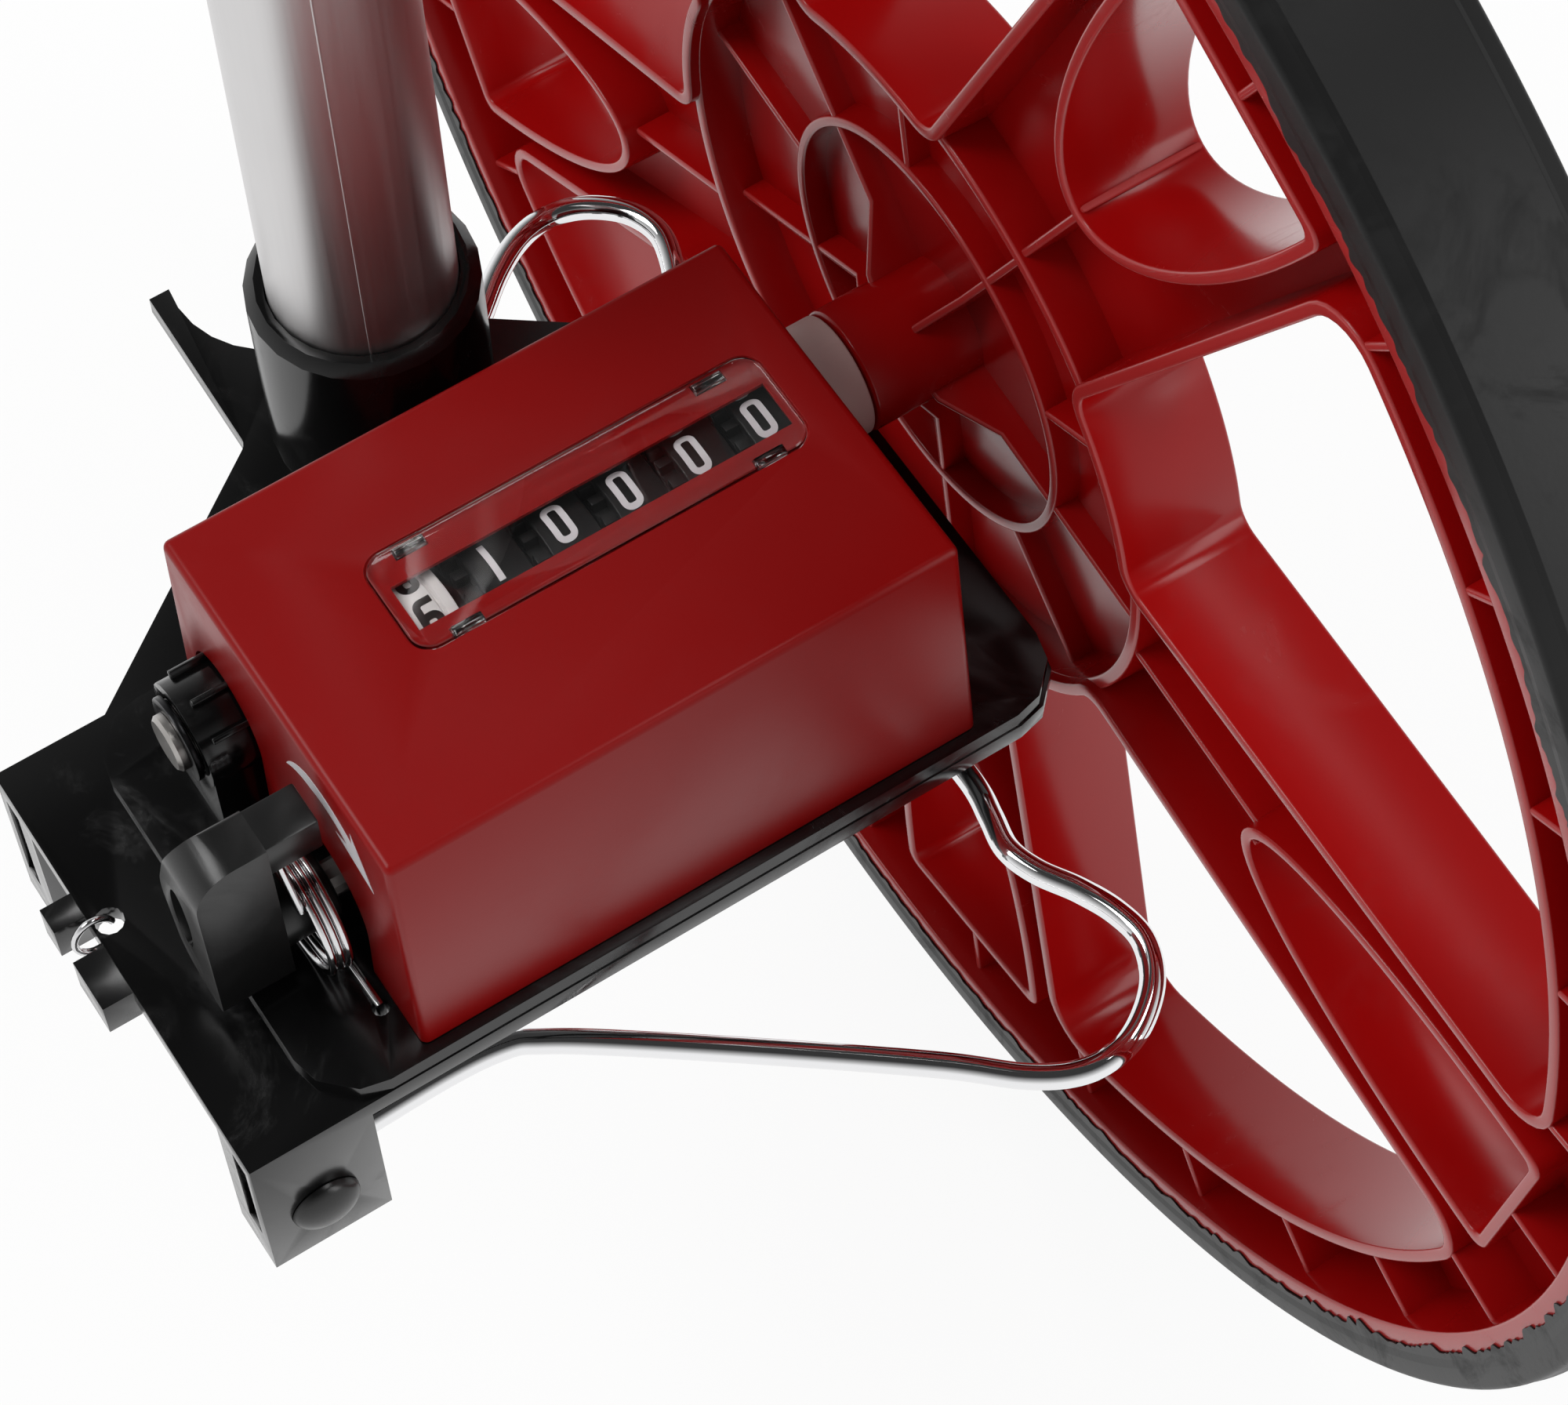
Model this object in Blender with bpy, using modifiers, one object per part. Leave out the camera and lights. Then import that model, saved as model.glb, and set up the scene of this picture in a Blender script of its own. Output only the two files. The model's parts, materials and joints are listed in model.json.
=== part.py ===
# Measuring wheel with a digit counter, a folding handle and a spring-held stand.
# Metres, +Z up along the handle tube, +X forward, +Y from the counter towards the wheel.
# The origin is where the tyre meets the ground, on the wheel's middle plane.

import math

import bmesh
import bpy
from mathutils import Matrix, Vector

mm = 0.001
full_turn = 2 * math.pi

# General clearances and building allowances
gap = 0.3 * mm                    # between pieces that touch
running_gap = 0.4 * mm            # between pieces that turn past each other
overrun = 2 * mm                  # how far a cut runs past its piece
embed = 0.4 * mm                  # how far joined solids reach into each other
weld_distance = 0.001 * mm

# Wheel
wheel_diameter = 318.3 * mm       # one metre around the tread
wheel_steps = 60
tyre_width = 23 * mm
tyre_thickness = 7 * mm
tyre_chamfer = 1.2 * mm
rim_width = 22 * mm
rim_outer_wall = 2.1 * mm
rim_channel = 9.3 * mm
rim_inner_wall = 2 * mm
rim_inner_wall_width = 19.6 * mm
rim_rib_count = 30
rim_rib_width = 17.5 * mm
rib_thickness = 1.2 * mm
web_thickness = 2.2 * mm
spoke_count = 5
spoke_phase_degrees = -8
spoke_wall = 2 * mm
spoke_wall_width = 18 * mm
spoke_half_width_hub = 18.8 * mm
spoke_half_width_rim = 24.2 * mm
spoke_rib_width = 13.5 * mm
window_rim_fillet = 6 * mm
window_hub_fillet = 4 * mm
lobe_length = 55.5 * mm           # opening through each spoke, from its round end to the rim
lobe_half_width = 16 * mm
lobe_wall_reach = 2.7 * mm         # straight side of the lobe's wall, past the rim's inner wall face
hub_ring_radius = 53.5 * mm
hub_ring_wall = 2 * mm
hub_ring_width = 15 * mm
hub_rib_count = 10
hub_rib_width = 9 * mm
gusset_radius = 18 * mm
gusset_width = 18 * mm
inner_ring_radius = 31 * mm
inner_ring_wall = 1.5 * mm
inner_ring_width = 8 * mm
hub_boss_radius = 8.9 * mm
hub_boss_left = 20.5 * mm         # reach from the middle plane towards the counter
hub_boss_right = 13 * mm

# Axle and what sits on it
axle_radius = 4 * mm
axle_left = 119.7 * mm
axle_right = 22 * mm
spacer_radius = 8.7 * mm
clip_radius = 6 * mm
clip_thickness = 0.9 * mm
washer_radius = 8 * mm
washer_thickness = 1.2 * mm
nut_across_flats = 13 * mm
nut_height = 5.5 * mm
bush_wall = 1.3 * mm
handle_steps = 24
small_steps = 20
tiny_steps = 12
least_steps = 8

# Counter housing, measured from the axle in X and Z
housing_back = 12.7 * mm
housing_front = 42.8 * mm
housing_top = 23.6 * mm
housing_bottom = 17 * mm
housing_left = 109.9 * mm         # distances from the wheel's middle plane
housing_right = 27.9 * mm
housing_wall = 2 * mm
housing_side_draft = 0.9 * mm
housing_front_draft = 3.6 * mm
housing_edge = 1.1 * mm
post_radius = 2.6 * mm
post_height = 14 * mm
window_length = 55.7 * mm
window_width = 14.6 * mm
window_corner = 3 * mm
window_centre_x = 12 * mm
window_right = 33.8 * mm          # lens end nearest the wheel, from the middle plane
window_recess = 1.3 * mm
window_thickness = 1.7 * mm
window_bevel = 0.5 * mm
slot_length = 52.6 * mm
slot_width = 7.2 * mm

# Number drums and their drive
drum_count = 6
drum_radius = 11 * mm
drum_pitch = 9.8 * mm
drum_band = 7 * mm
drum_shoulder = 2.1 * mm
drum_shoulder_radius = 9 * mm
drum_steps = 14
drum_axis_x = 12.4 * mm
drum_axis_z = 10.2 * mm
first_drum = 85.8 * mm            # tenths drum's middle, from the wheel's middle plane
drum_shaft_radius = 2 * mm
pinion_radius = 3 * mm
pinion_width = 1.2 * mm
pinion_teeth = 5
pinion_shaft_radius = 1 * mm
pinion_drum_gap = 0.5 * mm
gear_teeth = 12
gear_width = 3.2 * mm
gear_middle = 95.2 * mm
gear_addendum = 0.25 * mm
gear_dedendum = 0.6 * mm
plate_thickness = 1.2 * mm
frame_left = 100 * mm
frame_right = 32 * mm
frame_back = 6 * mm
frame_front = 34 * mm
frame_top = 20.6 * mm

# Reset lever, its shaft and its spring
reset_axis_x = 24 * mm
reset_axis_z = -7.5 * mm
reset_shaft_radius = 2.5 * mm
reset_sleeve_radius = 3.8 * mm
reset_finger_length = 9.5 * mm
reset_finger_thickness = 1.2 * mm
reset_finger_degrees = 175
lever_back = 6.5 * mm             # from the reset axis
lever_front = 6 * mm
lever_below = 7 * mm
lever_above = 26.5 * mm
lever_outer = 130 * mm            # distances from the wheel's middle plane
lever_inner = 119.5 * mm
lever_arm_end = 111.6 * mm
lever_arm_height = 8.5 * mm
lever_round = 5 * mm
lever_hub_radius = 5 * mm
lever_hub_end = 111.2 * mm
reset_arch_radius = 10 * mm
reset_spring_radius = 7 * mm
reset_spring_wire = 0.6 * mm
reset_spring_turns = 3
reset_spring_points = 9
reset_spring_leg = 9 * mm
reset_spring_pitch = 1.65 * mm
reset_spring_start = 117.8 * mm
reset_hole_x = 38.7 * mm
reset_hole_y = 112.6 * mm
reset_hole_radius = 1.2 * mm

# Bracket
bracket_left = 137.5 * mm
bracket_right = 12 * mm
bracket_front = 48.2 * mm
bracket_back = 19.5 * mm
bracket_top = 20 * mm             # below the axle
bracket_thickness = 3.2 * mm
bracket_corner = 9 * mm
shoulder_y = 121 * mm             # where the left back edge turns towards the neck
neck_x = 46 * mm
neck_half_width = 18.7 * mm
pad_left = 125.5 * mm
pad_back = 17.7 * mm
pad_front = 48 * mm
pad_right = 12.6 * mm
fork_depth = 5 * mm
fork_half_width = 18.1 * mm
fork_tip = 74 * mm
fork_round = 15.4 * mm
tube_x = 40.4 * mm
tube_y = 66 * mm
socket_radius = 15.7 * mm
socket_top = 12.8 * mm            # above the axle
socket_lip = 1.5 * mm
socket_bore_floor = 17.5 * mm     # below the axle
socket_web_half = 6 * mm
boss_radius = 7.6 * mm
boss_left_outer = 117 * mm
boss_left_inner = 108.4 * mm
boss_right_outer = 26.5 * mm
boss_right_inner = 30.9 * mm
boss_cut_radius = 8.5 * mm
pedestal_half_width = 6.4 * mm
leg_length = 9.2 * mm
leg_depth = 17.5 * mm
leg_bottom = 50.5 * mm            # below the axle
leg_wall = 2 * mm
leg_slot_width = 3.4 * mm
leg_slot_top = 24 * mm
leg_slot_bottom = 43 * mm
tab_reach = 4.4 * mm
tab_depth = 7 * mm
tab_back_low = 1 * mm
tab_back_high = 5 * mm
tab_front_low = 10 * mm
tab_front_high = 18 * mm
tab_hole_radius = 2 * mm
tab_hole_inset = 2.4 * mm
rib_drop = 3 * mm
rib_wall = 1.6 * mm
rib_inset = 3.6 * mm

# Stand
stand_wire_radius = 1.75 * mm
stand_pivot_y = 128.8 * mm
stand_pivot_z = 39.6 * mm         # below the axle
stand_pin_radius = 2 * mm
stand_head_radius = 4.9 * mm
stand_head_height = 2.4 * mm
stand_eye_clearance = 0.35 * mm
stand_rise_share = 0.055          # climb of the folded wire towards the wheel
stand_skew_share = 0.05           # the two loops are bent a little unevenly
stand_half_span = 76 * mm         # widest reach of a loop from the middle
stand_reach = 112 * mm            # from the pivot to the far side of a loop
# Route of one half: share of the half span, share of the reach
stand_route_shares = (
    (0.392, 0.20), (0.398, 0.285), (0.425, 0.325), (0.50, 0.40), (0.68, 0.565), (0.85, 0.715),
    (0.945, 0.79), (0.99, 0.845), (0.998, 0.895), (0.975, 0.94), (0.92, 0.982), (0.85, 1.0),
    (0.78, 0.992), (0.71, 0.97), (0.64, 0.94), (0.575, 0.925), (0.51, 0.93), (0.44, 0.935),
    (0.30, 0.93), (0.0, 0.93),
)
stand_spring_radius = 3 * mm
stand_spring_wire = 0.5 * mm
stand_spring_turns = 9
stand_spring_body = 46 * mm
stand_spring_points = 8

# Handle
tube_radius = 12.7 * mm
tube_wall = 1.2 * mm
handle_top = 1000 * mm            # above the ground
fold_height = 560 * mm
fold_offset = 15.05 * mm          # hinge pin behind the tube's axis
collar_radius = 14.6 * mm
collar_length = 34 * mm
collar_overlap = 22 * mm
knuckle_radius = 6 * mm
tongue_half = 5 * mm
ear_outer = 10.8 * mm
fold_pin_radius = 2.5 * mm
fold_pin_head = 4 * mm
fold_pin_head_height = 1.6 * mm
knob_radius = 9 * mm
knob_height = 8 * mm
knob_lobes = 6
knob_lobe_depth = 1.3 * mm
knob_hub_radius = 5 * mm
fold_gap = 0.3 * mm
grip_radius = 14 * mm
grip_length = 115 * mm
grip_edge = 0.8 * mm
cap_height = 5 * mm
cap_plug = 14 * mm
socket_pin_radius = 1.6 * mm
socket_pin_drop = 10 * mm

# Screws
screw_head_radius = 3 * mm
screw_head_height = 2 * mm
screw_radius = 1.5 * mm
screw_length = 12 * mm

# Worked out from the sizes above
axle_height = wheel_diameter / 2
tyre_inner = axle_height - tyre_thickness
rim_radius = tyre_inner - gap
channel_outer = rim_radius - rim_outer_wall
channel_inner = channel_outer - rim_channel
window_outer = channel_inner - rim_inner_wall
bush_radius = axle_radius + bush_wall
drum_z = axle_height + drum_axis_z
reset_z = axle_height + reset_axis_z
bracket_z = axle_height - bracket_top
pad_z = axle_height - housing_bottom
socket_z = axle_height + socket_top
fold_x = -tube_x - fold_offset
stand_z = axle_height - stand_pivot_z
stand_middle = (bracket_front - bracket_back) / 2
gear_distance = math.hypot(drum_axis_x, drum_axis_z)
pinion_x = drum_axis_x + drum_shoulder_radius + pinion_radius + pinion_drum_gap
leg_middle_front = bracket_front - leg_length / 2
leg_middle_back = -bracket_back + leg_length / 2


# Scene set-up

for old in list(bpy.data.objects):
    bpy.data.objects.remove(old, do_unlink=True)


def new_collection(name, parent=None):
    group = bpy.data.collections.new(name)
    (parent or bpy.context.scene.collection).children.link(group)
    return group


parts = new_collection("measuring_wheel")
guides = new_collection("construction")


def plastic(name, colour, roughness, metallic=0.0):
    made = bpy.data.materials.new(name)
    made.use_nodes = True
    shader = made.node_tree.nodes["Principled BSDF"]
    shader.inputs["Base Color"].default_value = (*colour, 1.0)
    shader.inputs["Roughness"].default_value = roughness
    shader.inputs["Metallic"].default_value = metallic
    made.diffuse_color = (*colour, 1.0)
    return made


red_wheel = (0.36, 0.012, 0.014)
red_cover = (0.31, 0.014, 0.016)
black = (0.012, 0.012, 0.013)
steel = (0.62, 0.62, 0.63)
aluminium = (0.72, 0.72, 0.73)
pale = (0.70, 0.66, 0.64)
brass = (0.55, 0.40, 0.16)


# Building helpers

def link(obj, home):
    for group in list(obj.users_collection):
        group.objects.unlink(obj)
    home.objects.link(obj)
    return obj


def as_guide(obj):
    obj.hide_render = True
    obj.display_type = "WIRE"
    return obj


def from_bmesh(name, bm, home):
    mesh = bpy.data.meshes.new(name)
    bm.to_mesh(mesh)
    bm.free()
    obj = bpy.data.objects.new(name, mesh)
    home.objects.link(obj)
    return obj if home is parts else as_guide(obj)


def box(name, low, high, home=guides):
    bm = bmesh.new()
    bmesh.ops.create_cube(bm, size=1)
    low, high = Vector(low), Vector(high)
    bmesh.ops.scale(bm, verts=bm.verts, vec=high - low)
    bmesh.ops.translate(bm, verts=bm.verts, vec=(low + high) / 2)
    return from_bmesh(name, bm, home)


def boxes(name, corner_pairs, home=guides):
    bm = bmesh.new()
    for low, high in corner_pairs:
        low, high = Vector(low), Vector(high)
        made = bmesh.ops.create_cube(bm, size=1)["verts"]
        bmesh.ops.scale(bm, verts=made, vec=high - low)
        bmesh.ops.translate(bm, verts=made, vec=(low + high) / 2)
    return from_bmesh(name, bm, home)


def rod(name, radius, start, end, home=guides, steps=small_steps):
    start, end = Vector(start), Vector(end)
    run = end - start
    turn = run.to_track_quat("Z", "Y").to_matrix().to_4x4()
    bm = bmesh.new()
    bmesh.ops.create_cone(bm, cap_ends=True, segments=steps, radius1=radius, radius2=radius,
                          depth=run.length, matrix=Matrix.Translation((start + end) / 2) @ turn)
    return from_bmesh(name, bm, home)


def turned(name, profile, place, home=guides, steps=small_steps):
    """A profile of (radius, height) pairs, outer side first and downwards, swept about local Z."""
    mesh = bpy.data.meshes.new(name)
    ring = profile[0][0] > 0 and profile[-1][0] > 0
    count = len(profile)
    edges = [(i, i + 1) for i in range(count - 1)] + ([(count - 1, 0)] if ring else [])
    mesh.from_pydata([(r, 0, h) for r, h in profile], edges, [])
    obj = bpy.data.objects.new(name, mesh)
    home.objects.link(obj)
    obj.matrix_world = place
    screw = obj.modifiers.new("turn", "SCREW")
    screw.angle = full_turn
    screw.steps = steps
    screw.render_steps = steps
    screw.use_merge_vertices = True
    screw.merge_threshold = weld_distance
    return obj if home is parts else as_guide(obj)


def along_y(x, z, spin=0.0):
    """Local Z lies along world +Y at the given place, turned about it by spin."""
    return (Matrix.Translation((x, 0, z)) @ Matrix.Rotation(-math.pi / 2, 4, "X")
            @ Matrix.Rotation(spin, 4, "Z"))


def along_x(y, z):
    return Matrix.Translation((0, y, z)) @ Matrix.Rotation(math.pi / 2, 4, "Y")


def upright(x, y, z=0.0):
    return Matrix.Translation((x, y, z))


def to_mesh(obj, name, home):
    """Turn an evaluated curve into a welded mesh object at the same place."""
    bpy.context.view_layer.update()
    depsgraph = bpy.context.evaluated_depsgraph_get()
    mesh = bpy.data.meshes.new_from_object(obj.evaluated_get(depsgraph))
    bm = bmesh.new()
    bm.from_mesh(mesh)
    bmesh.ops.remove_doubles(bm, verts=bm.verts, dist=weld_distance)
    bm.to_mesh(mesh)
    bm.free()
    place = obj.matrix_world.copy()
    bpy.data.objects.remove(obj, do_unlink=True)
    made = bpy.data.objects.new(name, mesh)
    home.objects.link(made)
    made.matrix_world = place
    return made if home is parts else as_guide(made)


def outline(name, loops, thickness, place, home=guides):
    """A flat shape from closed loops of points, thickened evenly to both sides."""
    curve = bpy.data.curves.new(name, "CURVE")
    curve.dimensions = "2D"
    curve.fill_mode = "BOTH"
    curve.extrude = thickness / 2
    for loop in loops:
        spline = curve.splines.new("POLY")
        spline.points.add(len(loop) - 1)
        for point, (u, v) in zip(spline.points, loop):
            point.co = (u, v, 0, 1)
        spline.use_cyclic_u = True
    obj = bpy.data.objects.new(name, curve)
    bpy.context.scene.collection.objects.link(obj)
    obj.matrix_world = place
    return to_mesh(obj, name, home)


def facing_y(x, y, z):
    """Local X, Y lie along world X, Z, and the thickness along Y."""
    return Matrix.Translation((x, y, z)) @ Matrix.Rotation(math.pi / 2, 4, "X")


def flat(z):
    return Matrix.Translation((0, 0, z))


def wire(name, points, radius, resolution, home=parts):
    curve = bpy.data.curves.new(name, "CURVE")
    curve.dimensions = "3D"
    curve.bevel_depth = radius
    curve.bevel_resolution = resolution
    curve.use_fill_caps = True
    spline = curve.splines.new("POLY")
    spline.points.add(len(points) - 1)
    for point, place in zip(spline.points, points):
        point.co = (*place, 1)
    obj = bpy.data.objects.new(name, curve)
    bpy.context.scene.collection.objects.link(obj)
    return to_mesh(obj, name, home)


def arc(centre, radius, start, end, count):
    """Points on a circle from one angle to another, in degrees, both ends included."""
    made = []
    for i in range(count + 1):
        angle = math.radians(start + (end - start) * i / count)
        made.append((centre[0] + radius * math.cos(angle), centre[1] + radius * math.sin(angle)))
    return made


def rounded(corners, arc_steps=3):
    """A closed loop from (u, v, radius) corners, each rounded by its own radius."""
    made = []
    count = len(corners)
    for i, (u, v, radius) in enumerate(corners):
        here = Vector((u, v))
        if radius == 0:
            made.append((u, v))
            continue
        before = (Vector(corners[i - 1][:2]) - here).normalized()
        after = (Vector(corners[(i + 1) % count][:2]) - here).normalized()
        half = before.angle(after) / 2
        centre = here + (before + after).normalized() * radius / math.sin(half)
        first = here + before * radius / math.tan(half)
        last = here + after * radius / math.tan(half)
        for step in range(arc_steps + 1):
            blend = (first - centre).lerp(last - centre, step / arc_steps)
            spot = centre + blend.normalized() * radius
            made.append((spot.x, spot.y))
    return made


def rounded_box_loop(low_u, high_u, low_v, high_v, radius):
    return rounded([(low_u, low_v, radius), (high_u, low_v, radius),
                    (high_u, high_v, radius), (low_u, high_v, radius)])


def combine(target, others, operation):
    """One exact Boolean of the target with a collection of guides."""
    group = new_collection(target.name + "_" + operation.lower(), guides)
    for other in others:
        link(other, group)
    change = target.modifiers.new(operation.lower(), "BOOLEAN")
    change.operation = operation
    change.solver = "EXACT"
    change.operand_type = "COLLECTION"
    change.collection = group
    return target


def add(target, others):
    return combine(target, others, "UNION")


def cut(target, others):
    return combine(target, others, "DIFFERENCE")


def merge_flats(obj):
    """Join the many small coplanar faces that a large Boolean leaves."""
    flats = obj.modifiers.new("merge_flats", "DECIMATE")
    flats.decimate_type = "DISSOLVE"
    flats.angle_limit = math.radians(0.5)
    return obj


def finish(obj, colour, roughness, metallic=0.0, smooth=None):
    obj.data.materials.clear()
    obj.data.materials.append(plastic(obj.name, colour, roughness, metallic))
    if smooth is not None:
        obj.data.shade_smooth()
        obj.data.set_sharp_from_angle(angle=math.radians(smooth))
    return obj


def carry(name, place, pieces):
    """An empty on a joint's axis that carries the pieces turning about it."""
    empty = bpy.data.objects.new(name, None)
    parts.objects.link(empty)
    empty.location = place
    bpy.context.view_layer.update()
    for piece in pieces:
        world = piece.matrix_world.copy()
        piece.parent = empty
        piece.matrix_parent_inverse = empty.matrix_world.inverted()
        piece.matrix_world = world


def tube_profile(outer, inner, low, high):
    return [(outer, high), (outer, low), (inner, low), (inner, high)]


# Wheel

def spoke_face(radial):
    """Half width of a spoke at a distance from the hub."""
    run = (radial - hub_ring_radius) / (window_outer - hub_ring_radius)
    return spoke_half_width_hub + (spoke_half_width_rim - spoke_half_width_hub) * run


def window_loop(middle_degrees, grow_sides, grow_ends):
    """Opening between two spokes; the two grows move its edges into the plastic."""
    half_step = 180 / spoke_count
    hub = hub_ring_radius - grow_ends
    rim = window_outer + grow_ends
    hub_half = half_step - math.degrees(math.asin((spoke_face(hub) - grow_sides) / hub))
    rim_half = half_step - math.degrees(math.asin((spoke_face(rim) - grow_sides) / rim))
    hub_arc = arc((0, 0), hub, middle_degrees + hub_half, middle_degrees - hub_half, 2)
    rim_arc = arc((0, 0), rim, middle_degrees - rim_half, middle_degrees + rim_half, 5)
    hub_fillet = window_hub_fillet + grow_ends
    rim_fillet = window_rim_fillet + grow_sides
    corners = [(u, v, 0) for u, v in hub_arc + rim_arc]
    last_hub = len(hub_arc) - 1
    for index, radius in ((0, hub_fillet), (last_hub, hub_fillet),
                          (last_hub + 1, rim_fillet), (len(corners) - 1, rim_fillet)):
        corners[index] = (*corners[index][:2], radius)
    return rounded(corners, 2)


def lobe_loop(spoke_degrees, grow, reach):
    """Opening through a spoke: half an ellipse closed by a straight side near the rim."""
    middle = window_outer - rim_inner_wall / 4
    long_axis = lobe_length + grow
    short_axis = lobe_half_width + grow
    points = [(middle + long_axis * u, short_axis * v) for u, v in arc((0, 0), 1, 90, 270, 8)]
    if reach:
        points += [(middle + reach, -short_axis), (middle + reach, short_axis)]
    turn = math.radians(spoke_degrees)
    return [(u * math.cos(turn) - v * math.sin(turn), u * math.sin(turn) + v * math.cos(turn))
            for u, v in points]


def radial_boxes(name, count, phase_degrees, inner, outer, thickness, width):
    bm = bmesh.new()
    for i in range(count):
        turn = Matrix.Rotation(-math.radians(phase_degrees + 360 * i / count), 4, "Y")
        size = Matrix.Diagonal((outer - inner, width, thickness, 1))
        bmesh.ops.create_cube(bm, size=1, matrix=turn @ Matrix.Translation(((outer + inner) / 2, 0, 0)) @ size)
    obj = from_bmesh(name, bm, guides)
    obj.location = (0, 0, axle_height)
    return obj


def make_wheel():
    place = facing_y(0, 0, axle_height)
    step = 360 / spoke_count
    spokes = [spoke_phase_degrees + step * i for i in range(spoke_count)]
    gaps = [angle + step / 2 for angle in spokes]
    half_wall = spoke_wall / 2
    web_edge = arc((0, 0), rim_radius - rim_outer_wall / 2, 0, 360 - 360 / wheel_steps, wheel_steps - 1)
    loops = [web_edge]
    loops += [window_loop(a, half_wall, half_wall / 2) for a in gaps]
    loops += [lobe_loop(a, half_wall, half_wall) for a in spokes]
    wheel = outline("wheel", loops, web_thickness, place, parts)
    extra = []
    for i, angle in enumerate(gaps):
        extra.append(outline("window_wall_%d" % i, [window_loop(angle, spoke_wall, half_wall), window_loop(angle, 0, 0)],
                             spoke_wall_width, place))
    for i, angle in enumerate(spokes):
        extra.append(outline("lobe_wall_%d" % i, [lobe_loop(angle, spoke_wall, lobe_wall_reach), lobe_loop(angle, 0, 0)],
                             spoke_wall_width - embed, place))
    axis = along_y(0, axle_height, math.pi / wheel_steps)
    extra.append(turned("rim_outer", tube_profile(rim_radius, channel_outer, -rim_width / 2, rim_width / 2),
                        axis, steps=wheel_steps))
    half = rim_inner_wall_width / 2
    extra.append(turned("rim_inner", tube_profile(channel_inner, window_outer + embed, -half, half),
                        axis, steps=wheel_steps))
    extra.append(radial_boxes("rim_ribs", rim_rib_count, spoke_phase_degrees, channel_inner - embed,
                              channel_outer + embed, rib_thickness, rim_rib_width))
    half = hub_ring_width / 2
    extra.append(turned("hub_ring", tube_profile(hub_ring_radius - embed, hub_ring_radius - hub_ring_wall,
                                                 -half, half), axis, steps=wheel_steps // 2))
    half = inner_ring_width / 2
    extra.append(turned("inner_ring", tube_profile(inner_ring_radius, inner_ring_radius - inner_ring_wall,
                                                   -half, half), axis, steps=wheel_steps // 3))
    lobe_start = window_outer - lobe_length - spoke_wall
    extra.append(radial_boxes("spoke_ribs", spoke_count, spoke_phase_degrees, hub_ring_radius - hub_ring_wall / 2,
                              lobe_start + embed, rib_thickness, spoke_rib_width))
    extra.append(radial_boxes("hub_ribs", hub_rib_count, spoke_phase_degrees, hub_boss_radius - embed,
                              hub_ring_radius - hub_ring_wall / 2, rib_thickness, hub_rib_width))
    extra.append(hub_gussets())
    extra.append(turned("hub_boss", [(hub_boss_radius, hub_boss_right), (hub_boss_radius, -hub_boss_left),
                                     (axle_radius + gap, -hub_boss_left), (axle_radius + gap, hub_boss_right)],
                        axis, steps=small_steps))
    bore = rod("wheel_bore", axle_radius + gap, (0, -hub_boss_left - overrun, axle_height),
               (0, hub_boss_right + overrun, axle_height))
    cut(wheel, [bore])
    add(wheel, extra)
    merge_flats(wheel)
    return finish(wheel, red_wheel, 0.28, smooth=30)


def hub_gussets():
    """Sloped fins where the hub ribs climb the boss."""
    bm = bmesh.new()
    inner = hub_boss_radius - embed / 2
    rise = gusset_width / 2
    root = hub_rib_width / 2 - embed
    for i in range(hub_rib_count):
        made = bmesh.ops.create_cube(bm, size=1)["verts"]
        for vert in made:
            outer_end = vert.co.x > 0
            vert.co.z *= rib_thickness - embed / 2
            vert.co.y = math.copysign(root if outer_end else rise, vert.co.y)
            vert.co.x = gusset_radius if outer_end else inner
        turn = -math.radians(spoke_phase_degrees + 360 * i / hub_rib_count)
        bmesh.ops.rotate(bm, verts=made, cent=(0, 0, 0), matrix=Matrix.Rotation(turn, 3, "Y"))
    obj = from_bmesh("hub_gussets", bm, guides)
    obj.location = (0, 0, axle_height)
    return obj


def make_tyre():
    """The tread has a flat facet straight below the axle, at the wheel's true radius."""
    tread = axle_height / math.cos(math.pi / wheel_steps)
    half = tyre_width / 2
    profile = [(tread - tyre_chamfer, half), (tread, half - tyre_chamfer), (tread, tyre_chamfer - half),
               (tread - tyre_chamfer, -half), (tyre_inner + gap, -half), (tyre_inner + gap, half)]
    tyre = turned("tyre", profile, along_y(0, axle_height, math.pi / wheel_steps), parts, wheel_steps)
    return finish(tyre, black, 0.6, smooth=30)


def make_axle_group():
    z = axle_height
    axle = rod("axle", axle_radius, (0, -axle_left, z), (0, axle_right, z), parts)
    finish(axle, steel, 0.3, 1.0, smooth=40)
    at = along_y(0, z)
    bore = axle_radius + gap
    spacer = turned("hub_spacer", tube_profile(spacer_radius, bore, gap - boss_right_outer,
                                               -hub_boss_left - gap), at, parts, small_steps)
    finish(spacer, pale, 0.45, smooth=40)
    clip_right = -boss_left_outer - gap
    clip = outline("axle_clip", [clip_loop()], clip_thickness, facing_y(0, clip_right - clip_thickness / 2, z), parts)
    finish(clip, steel, 0.3, 1.0)
    washer_left = hub_boss_right + gap
    washer = turned("axle_washer", tube_profile(washer_radius, bore, washer_left, washer_left + washer_thickness),
                    at, parts, tiny_steps)
    finish(washer, steel, 0.35, 1.0, smooth=40)
    nut_left = washer_left + washer_thickness + gap
    nut_corner = nut_across_flats / math.sqrt(3)
    nut = outline("axle_nut", [arc((0, 0), nut_corner, 0, 300, 5), arc((0, 0), bore, 0, 345, 23)], nut_height,
                  facing_y(0, nut_left + nut_height / 2, z), parts)
    finish(nut, steel, 0.35, 1.0)
    gear = make_gear("drive_gear", 0, z, 0.5, bore)
    return [axle, spacer, clip, washer, nut, gear]


def clip_loop():
    """A snap ring that opens downwards around the axle."""
    inner = axle_radius + gap
    return arc((0, 0), clip_radius, -60, 240, 14) + arc((0, 0), inner, 240, -60, 14)


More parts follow.
